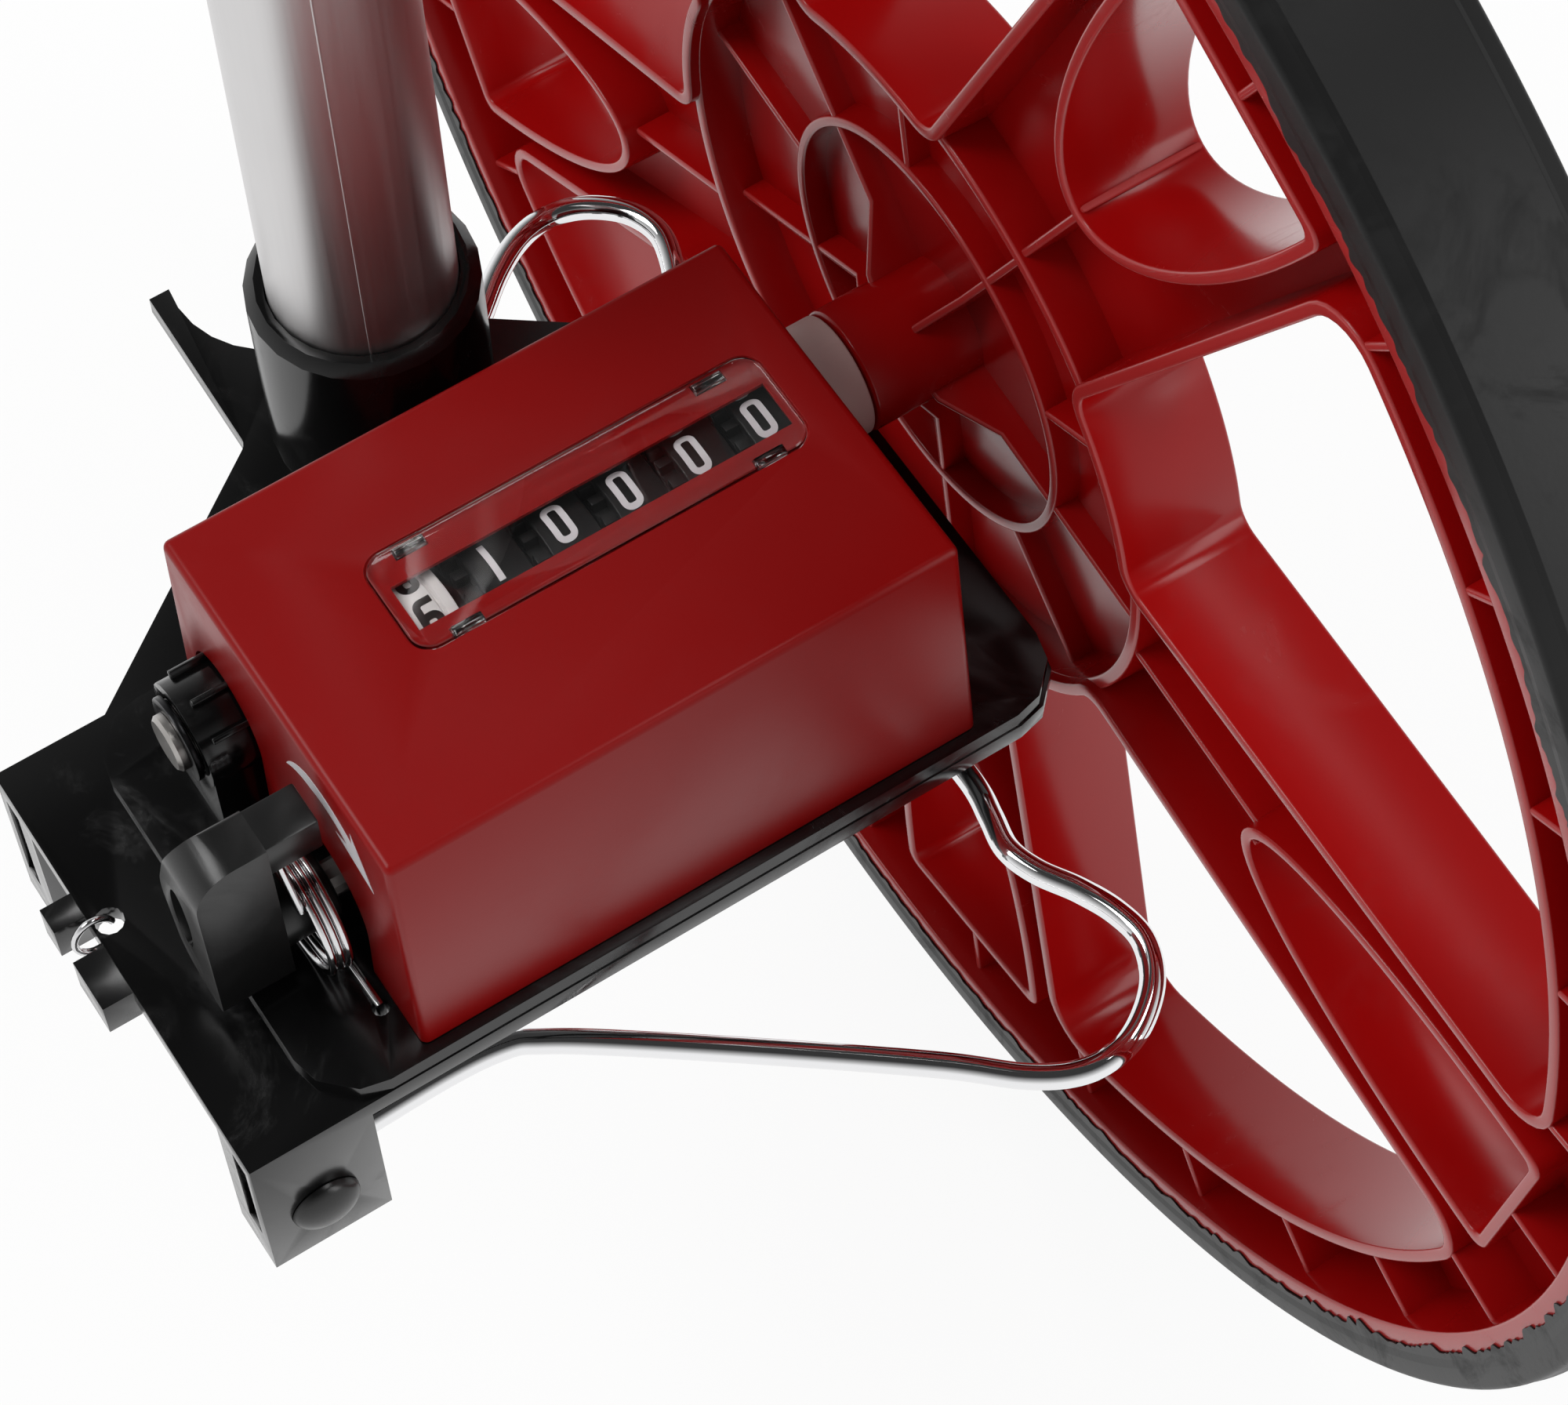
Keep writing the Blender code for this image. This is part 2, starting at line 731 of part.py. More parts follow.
def gear_loop(teeth, pitch_radius, phase):
    """Short straight-sided teeth; phase turns them by a share of a tooth."""
    tip = pitch_radius + gear_addendum
    root = pitch_radius - gear_dedendum
    step = 360 / teeth
    loop = []
    for i in range(teeth):
        middle = (i + phase) * step
        loop += arc((0, 0), tip, middle - 0.13 * step, middle + 0.13 * step, 1)
        loop += arc((0, 0), root, middle + 0.24 * step, middle + 0.76 * step, 1)
    return loop


def make_gear(name, x, z, phase, bore):
    """Both gears of the drive have this form, with their centre line as pitch reference."""
    centre_line = math.degrees(math.atan2(drum_axis_z, drum_axis_x))
    loops = [gear_loop(gear_teeth, gear_distance / 2, phase), arc((0, 0), bore, 0, 342, 19)]
    turn = Matrix.Rotation(math.radians(centre_line), 4, "Z")
    gear = outline(name, loops, gear_width, facing_y(x, -gear_middle, z) @ turn, parts)
    return finish(gear, brass, 0.35, 1.0)


# Counter

def housing_corners():
    """Lowest and highest corners of the top face, and how the bottom spreads."""
    low = (-housing_back, -housing_left)
    high = (housing_front, -housing_right)
    return low, high


def tapered_box(name, low, high, side_draft, front_draft, home):
    bm = bmesh.new()
    bmesh.ops.create_cube(bm, size=1)
    for vert in bm.verts:
        at_bottom = vert.co.z < 0
        spread_y = side_draft if at_bottom else 0
        vert.co.z = low[2] if at_bottom else high[2]
        vert.co.y = low[1] - spread_y if vert.co.y < 0 else high[1] + spread_y
        vert.co.x = low[0] if vert.co.x < 0 else high[0] + (front_draft if at_bottom else 0)
    return from_bmesh(name, bm, home)


def round_edges(obj, width, steps, skip_bottom=True):
    """Bevel a box's edges, but not those of its open lower side."""
    bm = bmesh.new()
    bm.from_mesh(obj.data)
    floor = min(vert.co.z for vert in bm.verts) + weld_distance
    chosen = [e for e in bm.edges if not (skip_bottom and all(v.co.z < floor for v in e.verts))]
    bmesh.ops.bevel(bm, geom=chosen, offset=width, segments=steps, profile=0.5, affect="EDGES")
    bm.to_mesh(obj.data)
    bm.free()
    return obj


def post_places():
    low, high = housing_corners()
    inset = post_radius + housing_wall / 2
    return [(x, y) for x in (low[0] + inset, high[0] - inset) for y in (low[1] + inset, high[1] - inset)]


def window_box(grow):
    """Plan outline of the lens, grown or shrunk evenly."""
    half = window_width / 2 + grow
    high_y = -window_right + grow
    low_y = high_y - window_length - 2 * grow
    return rounded_box_loop(window_centre_x - half, window_centre_x + half, low_y, high_y, window_corner + grow)


def make_housing():
    top = axle_height + housing_top
    bottom = pad_z + gap
    low, high = housing_corners()
    housing = tapered_box("counter_housing", (*low, bottom), (*high, top), housing_side_draft,
                          housing_front_draft, parts)
    round_edges(housing, housing_edge, 2)
    wall = housing_wall
    hollow = tapered_box("housing_hollow", (low[0] + wall, low[1] + wall, bottom - overrun),
                         (high[0] - wall, high[1] - wall, top - wall), housing_side_draft,
                         housing_front_draft, guides)
    cut(housing, [hollow])
    posts = [rod("housing_post_%d" % i, post_radius, (x, y, bottom), (x, y, bottom + post_height),
                 steps=least_steps) for i, (x, y) in enumerate(post_places())]
    add(housing, posts)
    cuts = [rod("post_bore_%d" % i, screw_radius + gap, (x, y, bottom - overrun),
                (x, y, bottom + screw_length - bracket_thickness), steps=least_steps)
            for i, (x, y) in enumerate(post_places())]
    recess_thickness = window_recess + overrun
    cuts.append(outline("window_recess", [window_box(gap)], recess_thickness,
                        flat(top - window_recess + recess_thickness / 2)))
    slot_middle = -window_right - window_length / 2
    cuts.append(box("drum_slot", (window_centre_x - slot_width / 2, slot_middle - slot_length / 2, top - wall - overrun),
                    (window_centre_x + slot_width / 2, slot_middle + slot_length / 2, top)))
    left_face = -housing_left
    right_face = -housing_right
    reach = housing_side_draft + overrun
    cuts.append(arch_cut("boss_arch_left", 0, axle_height, boss_cut_radius, left_face - reach, left_face + wall + reach))
    cuts.append(arch_cut("boss_arch_right", 0, axle_height, boss_cut_radius, right_face - wall - reach,
                         right_face + reach))
    cuts.append(arch_cut("reset_arch", reset_axis_x, reset_z, reset_arch_radius, left_face - reach,
                         left_face + wall + reach))
    cut(housing, cuts)
    merge_flats(housing)
    return finish(housing, red_cover, 0.35, smooth=30)


def arch_cut(name, x, z, radius, low_y, high_y):
    """A round-topped cut that is open at the housing's lower edge."""
    bottom = pad_z - overrun - z
    loop = arc((0, 0), radius, 0, 180, 14) + [(-radius, bottom), (radius, bottom)]
    return outline(name, [loop], high_y - low_y, facing_y(x, (low_y + high_y) / 2, z))


def make_window():
    top = axle_height + housing_top
    floor = top - window_recess + gap
    lens = outline("counter_window", [window_box(0)], window_thickness, flat(floor + window_thickness / 2), parts)
    rim = lens.modifiers.new("rim", "BEVEL")
    rim.width = window_bevel
    rim.segments = 1
    rim.limit_method = "ANGLE"
    rim.angle_limit = math.radians(60)
    return finish(lens, (0.8, 0.82, 0.82), 0.1)


def drum_middle(index):
    return -first_drum + drum_pitch * index


def make_drums():
    names = ("drum_tenths", "drum_units", "drum_tens", "drum_hundreds", "drum_thousands", "drum_ten_thousands")
    bore = drum_shaft_radius + gap
    drums = []
    for index, name in enumerate(names[:drum_count]):
        right = drum_middle(index) + drum_band / 2
        left = right - drum_band
        shoulder = left - drum_shoulder if index else gap + gear_width / 2 - gear_middle
        profile = [(drum_radius, right), (drum_radius, left), (drum_shoulder_radius, left),
                   (drum_shoulder_radius, shoulder), (bore, shoulder), (bore, right)]
        drum = turned(name, profile, along_y(drum_axis_x, drum_z), parts, drum_steps)
        finish(drum, pale if index == 0 else black, 0.4, smooth=30)
        carry(name + "_axis", (drum_axis_x, drum_middle(index), drum_z), [drum])
        drums.append(drum)
    input_gear = make_gear("input_gear", drum_axis_x, drum_z, 0.0, bore)
    carry("input_gear_axis", (drum_axis_x, -gear_middle, drum_z), [input_gear])
    return drums


def make_pinions():
    bore = pinion_shaft_radius + gap
    for index in range(1, drum_count):
        middle = drum_middle(index) - drum_band / 2 - drum_shoulder / 2
        loops = [pinion_loop(), arc((0, 0), bore, 0, 315, 7)]
        pinion = outline("transfer_pinion_%d" % index, loops, pinion_width, facing_y(pinion_x, middle, drum_z), parts)
        finish(pinion, black, 0.4)
        carry("transfer_pinion_%d_axis" % index, (pinion_x, middle, drum_z), [pinion])


def pinion_loop():
    loop = []
    step = 360 / pinion_teeth
    root = pinion_radius * 0.78
    for i in range(pinion_teeth):
        middle = i * step
        loop += arc((0, 0), pinion_radius, middle - 0.15 * step, middle + 0.15 * step, 1)
        loop += arc((0, 0), root, middle + 0.35 * step, middle + 0.65 * step, 1)
    return loop


def frame_plate(name, middle_y, reset_bore):
    """A thin plate across the counter with holes for its shafts and the axle."""
    z = axle_height
    outer = [(-frame_back, pad_z + gap - z), (frame_front, pad_z + gap - z), (frame_front, frame_top),
             (-frame_back, frame_top)]
    loops = [outer,
             arc((0, 0), axle_radius + running_gap, 0, 342, 19),
             arc((drum_axis_x, drum_axis_z), drum_shaft_radius + gap, 0, 330, 11),
             arc((pinion_x, drum_axis_z), pinion_shaft_radius + gap, 0, 330, 11),
             arc((reset_axis_x, reset_axis_z), reset_bore, 0, 330, 11)]
    plate = outline(name, loops, plate_thickness, facing_y(0, middle_y, z), parts)
    return finish(plate, steel, 0.4, 1.0)


def make_counter_frame():
    reset_bore = reset_shaft_radius + gap
    frame_plate("counter_frame_left", -frame_left, reset_bore)
    frame_plate("counter_frame_right", -frame_right, reset_bore)
    reach = plate_thickness / 2
    shaft = rod("drum_shaft", drum_shaft_radius, (drum_axis_x, -frame_left - reach, drum_z),
                (drum_axis_x, reach - frame_right, drum_z), parts, tiny_steps)
    finish(shaft, steel, 0.3, 1.0, smooth=40)
    shaft = rod("pinion_shaft", pinion_shaft_radius, (pinion_x, -frame_left - reach, drum_z),
                (pinion_x, reach - frame_right, drum_z), parts, tiny_steps)
    finish(shaft, steel, 0.3, 1.0, smooth=40)


# Reset lever

def make_reset_group():
    x, z = reset_axis_x, reset_z
    block_loop = rounded([(-lever_back, -lever_below, lever_round / 2), (lever_front, -lever_below, 0),
                          (lever_front, lever_above, 0), (-lever_back, lever_above, lever_round)])
    middle = (lever_outer + lever_inner) / 2
    lever = outline("reset_lever", [block_loop], lever_outer - lever_inner, facing_y(x, -middle, z), parts)
    arm = box("lever_arm", (x - lever_back + lever_round / 2, -lever_inner - embed, z + lever_above - lever_arm_height),
              (x + lever_front - embed, -lever_arm_end, z + lever_above - embed))
    hub = rod("lever_hub", lever_hub_radius, (x, -lever_inner - embed, z), (x, -lever_hub_end, z))
    add(lever, [arm, hub])
    bore = rod("lever_bore", reset_shaft_radius + gap, (x, -lever_inner - lever_round, z),
               (x, -lever_hub_end + overrun, z), steps=tiny_steps)
    corner = outline("lever_corner", [corner_loop()], lever_back + lever_front + 2 * overrun,
                     corner_place(x, z))
    cut(lever, [bore, corner])
    finish(lever, black, 0.45, smooth=35)
    shaft = rod("reset_shaft", reset_shaft_radius, (x, gap - lever_inner - lever_round, z),
                (x, plate_thickness / 2 - frame_right, z), parts, tiny_steps)
    finish(shaft, steel, 0.3, 1.0, smooth=40)
    fingers = make_reset_fingers(x, z)
    carry("reset_axis", (x, -lever_inner, z), [lever, shaft, fingers])


def corner_loop():
    """The square corner outside a round one, for the lever's outer top edge."""
    r = lever_round
    return [(-overrun, -overrun), (r, -overrun)] + arc((r, r), r, -90, -180, 6) + [(-overrun, r)]


def corner_place(x, z):
    """Local X runs inwards along Y and local Y downwards, at the lever's outer top edge."""
    basis = Matrix(((0, 0, 1), (1, 0, 0), (0, -1, 0))).to_4x4()
    middle = (lever_front - lever_back) / 2
    return Matrix.Translation((x + middle, -lever_outer, z + lever_above)) @ flip_free(basis)


def flip_free(basis):
    """Keep the frame right-handed, so that the cutter faces outwards."""
    return basis if basis.determinant() > 0 else basis @ Matrix.Diagonal((1, 1, -1, 1))


def make_reset_fingers(x, z):
    left = plate_thickness / 2 + running_gap - frame_left
    right = -frame_right - plate_thickness / 2 - running_gap
    profile = tube_profile(reset_sleeve_radius, reset_shaft_radius + gap, left, right)
    sleeve = turned("reset_fingers", profile, along_y(x, z), parts, tiny_steps)
    turn = Matrix.Rotation(-math.radians(reset_finger_degrees), 4, "Y")
    start = reset_sleeve_radius - embed
    bm = bmesh.new()
    for index in range(drum_count):
        size = Matrix.Diagonal((reset_finger_length - start, drum_shoulder, reset_finger_thickness, 1))
        shift = Matrix.Translation(((reset_finger_length + start) / 2, 0, 0))
        place = Matrix.Translation((x, drum_middle(index), z)) @ turn @ shift @ size
        bmesh.ops.create_cube(bm, size=1, matrix=place)
    add(sleeve, [from_bmesh("finger_set", bm, guides)])
    return finish(sleeve, black, 0.4, smooth=35)


def make_reset_spring():
    """A coil round the lever's hub, with a short leg behind it and a long leg into the bracket."""
    x, z = reset_axis_x, reset_z
    r = reset_spring_radius
    count = reset_spring_turns * reset_spring_points
    start_y = -reset_spring_start
    run = Vector((reset_hole_x - x, pad_z - z))
    leave = math.atan2(run.y, run.x) + math.acos(r / run.length)
    points = []
    for i in range(count + 1):
        turned_by = leave + full_turn * (count - i) / reset_spring_points
        points.append((x + r * math.cos(turned_by), start_y + reset_spring_pitch * i / reset_spring_points,
                       z + r * math.sin(turned_by)))
    first, second = Vector(points[0]), Vector(points[1])
    points.insert(0, tuple(first + (first - second).normalized() * reset_spring_leg))
    points.append((reset_hole_x, -reset_hole_y, pad_z + reset_spring_wire))
    points.append((reset_hole_x, -reset_hole_y, pad_z - reset_spring_wire * 3))
    spring = wire("reset_spring", points, reset_spring_wire, 1)
    print("reset_spring least gap to itself: %.2f mm" % ((reset_spring_pitch - 2 * reset_spring_wire) / mm))
    return finish(spring, steel, 0.15, 1.0, smooth=60)


# Bracket

def bracket_loop():
    fork_x = fork_axis_x()
    half = fork_half_width
    opening = math.degrees(math.asin((fork_tip + fork_x) / fork_round))
    notch = arc((fork_x, -tube_y), fork_round, 90 + opening, -90 - opening, 16)
    corners = [(bracket_front, -bracket_left, 0), (bracket_front, -bracket_right, bracket_corner),
               (-bracket_back, -bracket_right, bracket_corner), (-neck_x, -tube_y + neck_half_width, 5 * embed),
               (-fork_tip, -tube_y + half, 0)]
    corners += [(u, v, 0) for u, v in notch]
    corners += [(-fork_tip, -tube_y - half, 0), (-neck_x, -tube_y - neck_half_width, 5 * embed),
                (-bracket_back, -shoulder_y, 0), (-bracket_back, -bracket_left, 0)]
    return rounded(corners)


def fork_axis_x():
    return -tube_x - 2 * fold_offset


def leg_boxes(low_x):
    """Outer box and hollow of one leg, which is open towards the wheel and below."""
    high_x = low_x + leg_length
    low_z = axle_height - leg_bottom
    outer = ((low_x, -bracket_left, low_z), (high_x, leg_depth - bracket_left, bracket_z - embed))
    hollow = ((low_x + leg_wall, leg_wall - bracket_left, low_z - overrun),
              (high_x - leg_wall, leg_depth - bracket_left + overrun, bracket_z - bracket_thickness))
    return outer, hollow


def make_bracket():
    bracket = outline("bracket", [bracket_loop()], bracket_thickness, flat(bracket_z - bracket_thickness / 2), parts)
    pad_height = pad_z - bracket_z + embed
    extra = [outline("pad", [rounded_box_loop(-pad_back, pad_front, -pad_left, -pad_right, bracket_corner)],
                     pad_height, flat(pad_z - pad_height / 2))]
    fork_drop = fork_depth - bracket_thickness
    for side in (-1, 1):
        arm_y = -tube_y + side * (fork_half_width + fork_round) / 2
        extra.append(box("fork_arm_%d" % (side + 1), (-fork_tip + embed, arm_y - embed, bracket_z - bracket_thickness - fork_drop),
                         (-neck_x, arm_y + embed, bracket_z - bracket_thickness + embed)))
    extra.append(turned("socket", [(0, socket_z), (socket_radius - socket_lip, socket_z), (socket_radius, socket_z - socket_lip),
                                   (socket_radius, bracket_z - bracket_thickness + embed),
                                   (0, bracket_z - bracket_thickness + embed)], upright(-tube_x, -tube_y), steps=handle_steps))
    extra.append(box("socket_web", (-tube_x, -tube_y - socket_web_half, bracket_z - embed),
                     (-pad_back + embed, -tube_y + socket_web_half, axle_height)))
    hollows = []
    for low_x in (bracket_front - leg_length, -bracket_back):
        outer, hollow = leg_boxes(low_x)
        extra.append(box("leg_%d" % len(extra), *outer))
        hollows.append(box("leg_hollow_%d" % len(hollows), *hollow))
    extra += bearing_bosses()
    extra += spring_tab()
    extra += underside_ribs()
    add(bracket, extra)
    cut(bracket, hollows + bracket_cuts())
    merge_flats(bracket)
    return finish(bracket, black, 0.25, smooth=30)


def bearing_bosses():
    z = axle_height
    made = []
    for name, low_y, high_y in (("left", -boss_left_outer, -boss_left_inner),
                                ("right", -boss_right_inner, -boss_right_outer)):
        made.append(rod("boss_" + name, boss_radius, (0, low_y, z), (0, high_y, z)))
        made.append(box("pedestal_" + name, (-pedestal_half_width, low_y + embed, pad_z - embed),
                        (pedestal_half_width, high_y - embed, z - axle_radius)))
    return made


def spring_tab():
    """Two lugs at the bar's outer edge, between which the stand spring hooks in."""
    low_z = bracket_z - tab_depth
    high_z = bracket_z - embed
    low_y = -bracket_left - tab_reach
    high_y = -bracket_left + embed
    return [box("tab_back", (tab_back_low, low_y, low_z), (tab_back_high, high_y, high_z)),
            box("tab_front", (tab_front_low, low_y, low_z), (tab_front_high, high_y, high_z))]


def underside_ribs():
    """Stiffening ribs along the underside of the plate."""
    high_z = bracket_z - bracket_thickness + embed
    low_z = bracket_z - bracket_thickness - rib_drop
    low_y = -bracket_left + leg_depth
    high_y = -bracket_right - bracket_corner
    front = bracket_front - rib_inset
    back = -bracket_back + rib_inset
    return [box("rib_front", (front - rib_wall, low_y - embed, low_z), (front, high_y, high_z)),
            box("rib_back", (back, low_y - embed, low_z), (back + rib_wall, high_y, high_z))]


def bracket_cuts():
    z = axle_height
    cuts = [rod("tube_bore", tube_radius + gap, (-tube_x, -tube_y, z - socket_bore_floor),
                (-tube_x, -tube_y, socket_z + overrun), steps=handle_steps)]
    for name, low_y, high_y in (("left", -boss_left_outer, -boss_left_inner),
                                ("right", -boss_right_inner, -boss_right_outer)):
        cuts.append(rod("boss_bore_" + name, bush_radius + gap, (0, low_y - overrun, z), (0, high_y + overrun, z)))
    low_z = bracket_z - bracket_thickness - overrun
    for i, (x, y) in enumerate(post_places()):
        cuts.append(rod("screw_hole_%d" % i, screw_radius + gap, (x, y, low_z), (x, y, pad_z + overrun),
                        steps=tiny_steps))
    cuts.append(rod("spring_hole", reset_hole_radius, (reset_hole_x, -reset_hole_y, low_z),
                    (reset_hole_x, -reset_hole_y, pad_z + overrun), steps=tiny_steps))
    tab_x = (tab_back_high + tab_front_low) / 2
    cuts.append(rod("tab_hole", tab_hole_radius, (tab_x, tab_hole_inset - bracket_left, low_z),
                    (tab_x, tab_hole_inset - bracket_left, bracket_z + overrun), steps=tiny_steps))
    cuts.append(rod("stand_bore", stand_pin_radius + gap, (-bracket_back - overrun, -stand_pivot_y, stand_z),
                    (bracket_front + overrun, -stand_pivot_y, stand_z), steps=tiny_steps))
    cuts.append(rod("socket_pin_bore", socket_pin_radius + gap, (-tube_x - socket_radius - overrun, -tube_y, z - socket_pin_drop),
                    (-tube_x + socket_radius + overrun, -tube_y, z - socket_pin_drop), steps=tiny_steps))
    for i, low_x in enumerate((bracket_front - leg_wall - leg_slot_width, -bracket_back + leg_wall)):
        cuts.append(box("leg_slot_%d" % i, (low_x, -bracket_left - overrun, z - leg_slot_bottom),
                        (low_x + leg_slot_width, -bracket_left + leg_wall + embed, z - leg_slot_top)))
    return cuts


def make_bushes():
    z = axle_height
    for name, low_y, high_y in (("left", -boss_left_outer, -boss_left_inner),
                                ("right", -boss_right_inner, -boss_right_outer)):
        bush = turned("axle_bush_" + name, tube_profile(bush_radius, axle_radius + gap / 2, low_y, high_y),
                      along_y(0, z), parts)
        finish(bush, pale, 0.4, smooth=40)


def make_screws():
    head_top = bracket_z - bracket_thickness - gap
    for i, (x, y) in enumerate(post_places()):
        low = head_top - screw_head_height
        profile = [(0, head_top + screw_length), (screw_radius, head_top + screw_length), (screw_radius, head_top),
                   (screw_head_radius, head_top), (screw_head_radius, low), (0, low)]
        screw = turned("housing_screw_%d" % (i + 1), profile, upright(x, y), parts, tiny_steps)
        finish(screw, steel, 0.35, 1.0, smooth=40)


# Stand

def stand_point(half_share, reach_share, side):
    """A place on the folded wire: it climbs a little and the loops are bent unevenly."""
    across = side * half_share * stand_half_span
    y = -stand_pivot_y + reach_share * stand_reach - across * stand_skew_share
    eye = stand_pin_radius + stand_eye_clearance + stand_wire_radius
    z = stand_z + eye + (y + stand_pivot_y) * stand_rise_share
    return (stand_middle + across, y, z)


def smooth_route(points, steps):
    """Catmull-Rom points through the route, ends included."""
    made = []
    last = len(points) - 1
    for i in range(last):
        p0, p1, p2, p3 = (Vector(points[max(0, min(last, k))]) for k in (i - 1, i, i + 1, i + 2))
        for s in range(steps):
            t = s / steps
            made.append(tuple(0.5 * (2 * p1 + (p2 - p0) * t + (2 * p0 - 5 * p1 + 4 * p2 - p3) * t * t
                                     + (3 * p1 - p0 - 3 * p2 + p3) * t ** 3)))
    made.append(tuple(points[-1]))
    return made


def stand_eye(side):
    """The curled end of the wire round its pivot rivet, ending where the run starts."""
    radius = stand_pin_radius + stand_eye_clearance + stand_wire_radius
    x = leg_middle_front if side > 0 else leg_middle_back
    return [(x, -stand_pivot_y + radius * math.cos(math.radians(a)), stand_z + radius * math.sin(math.radians(a)))
            for a in range(342, 89, -36)]


def make_stand():
    halves = {}
    for side in (1, -1):
        route = [stand_point(half, reach, side) for half, reach in stand_route_shares]
        eye = stand_eye(side)
        x = eye[-1][0]
        route[0] = (x, route[0][1], route[0][2])
        halves[side] = eye[:-1] + smooth_route([eye[-1]] + route, 2)
    points = halves[1] + halves[-1][::-1][1:]
    stand = wire("stand", points, stand_wire_radius, 2)
    finish(stand, steel, 0.08, 1.0, smooth=60)
    rivets = []
    for name, face, way in (("stand_rivet_front", bracket_front, 1), ("stand_rivet_back", -bracket_back, -1)):
        rivet = make_rivet(name, face, way)
        rivets.append(rivet)
    carry("stand_axis", (stand_middle, -stand_pivot_y, stand_z), [stand])
    return rivets


def make_rivet(name, face, way):
    """A pivot rivet with a domed head outside the leg."""
    tail = face - way * leg_length
    head = face + way * gap
    dome = arc((0, 0), 1, 90, 0, 3)
    profile = [(stand_head_radius * u, stand_head_height * v) for u, v in dome]
    profile[0] = (0, stand_head_height)
    profile += [(stand_pin_radius, 0), (stand_pin_radius, -abs(head - tail)), (0, -abs(head - tail))]
    place = along_x(-stand_pivot_y, stand_z) if way > 0 else (
        Matrix.Translation((0, -stand_pivot_y, stand_z)) @ Matrix.Rotation(-math.pi / 2, 4, "Y"))
    rivet = turned(name, profile, Matrix.Translation((head, 0, 0)) @ place, parts, tiny_steps)
    return finish(rivet, black, 0.3, smooth=40)


def make_stand_spring():
    """A tension spring from the tab to the middle of the stand, under the plate."""
    tab_x = (tab_back_high + tab_front_low) / 2
    hook = Vector((tab_x, tab_hole_inset - bracket_left, bracket_z - bracket_thickness / 2))
    far_hook = Vector(stand_point((tab_x - stand_middle) / stand_half_span, stand_route_shares[-1][1], 1))
    ring = stand_spring_radius + stand_wire_radius
    low_z = bracket_z - bracket_thickness - rib_drop
    body_start = Vector((tab_x, hook.y + 3 * ring, low_z - stand_spring_radius))
    body_end = body_start + Vector((0, stand_spring_body, 0))
    body_end.z = body_start.z
    points = []
    centre = Vector((tab_x, -bracket_left + tab_hole_inset - ring * 0.62, bracket_z - bracket_thickness / 2))
    for i in range(9):
        angle = math.radians(20 + 34 * i)
        points.append((tab_x, centre.y + ring * 0.62 * math.cos(angle), centre.z + ring * 0.8 * math.sin(angle)))
    points.append(tuple(body_start + Vector((0, -ring, 0))))
    count = stand_spring_turns * stand_spring_points
    for i in range(count + 1):
        angle = full_turn * i / stand_spring_points
        along = body_start.lerp(body_end, i / count)
        points.append((along.x + stand_spring_radius * math.sin(angle), along.y,
                       along.z + stand_spring_radius * math.cos(angle)))
    points.append(tuple(body_end + Vector((0, ring, 0))))
    clear = stand_wire_radius + stand_spring_wire + gap
    lead = far_hook + Vector((0, -3 * clear, -clear))
    points.append(tuple(lead))
    for i in range(6):
        angle = math.radians(-90 + 45 * i)
        points.append((far_hook.x, far_hook.y + clear * math.cos(angle), far_hook.z + clear * math.sin(angle)))
    spring = wire("stand_spring", points, stand_spring_wire, 1)
    pitch = stand_spring_body / stand_spring_turns
    print("stand_spring least gap to itself: %.2f mm" % ((pitch - 2 * stand_spring_wire) / mm))
    return finish(spring, steel, 0.2, 1.0, smooth=60)


# Handle

def make_lower_handle():
    floor = axle_height - socket_bore_floor + gap
    top = fold_height - fold_gap / 2 - collar_length + collar_overlap - gap
    at = upright(-tube_x, -tube_y)
    tube = turned("lower_tube", tube_profile(tube_radius, tube_radius - tube_wall, floor, top), at, parts, handle_steps)
    pin_z = axle_height - socket_pin_drop
    cut(tube, [rod("tube_pin_bore", socket_pin_radius + gap, (-tube_x - socket_radius, -tube_y, pin_z),
                   (-tube_x + socket_radius, -tube_y, pin_z), steps=tiny_steps)])
    finish(tube, aluminium, 0.35, 1.0, smooth=40)
    pin = rod("socket_pin", socket_pin_radius, (-tube_x - socket_radius, -tube_y, pin_z),
              (-tube_x + socket_radius, -tube_y, pin_z), parts, tiny_steps)
    finish(pin, steel, 0.3, 1.0, smooth=40)
    collar = make_collar("fold_joint_lower", -1)
    return [tube, pin, collar]


def knuckle_block(name, low_y, high_y, way):
    """A round knuckle on the hinge pin, joined to its collar by a block."""
    knuckle = rod(name + "_round", knuckle_radius, (fold_x, low_y, fold_height), (fold_x, high_y, fold_height))
    near = fold_height + way * fold_gap / 2
    far = fold_height + way * knuckle_radius * 1.6
    block = box(name + "_block", (fold_x, low_y + embed / 2, min(near, far)),
                (-tube_x, high_y - embed / 2, max(near, far)))
    return [knuckle, block]


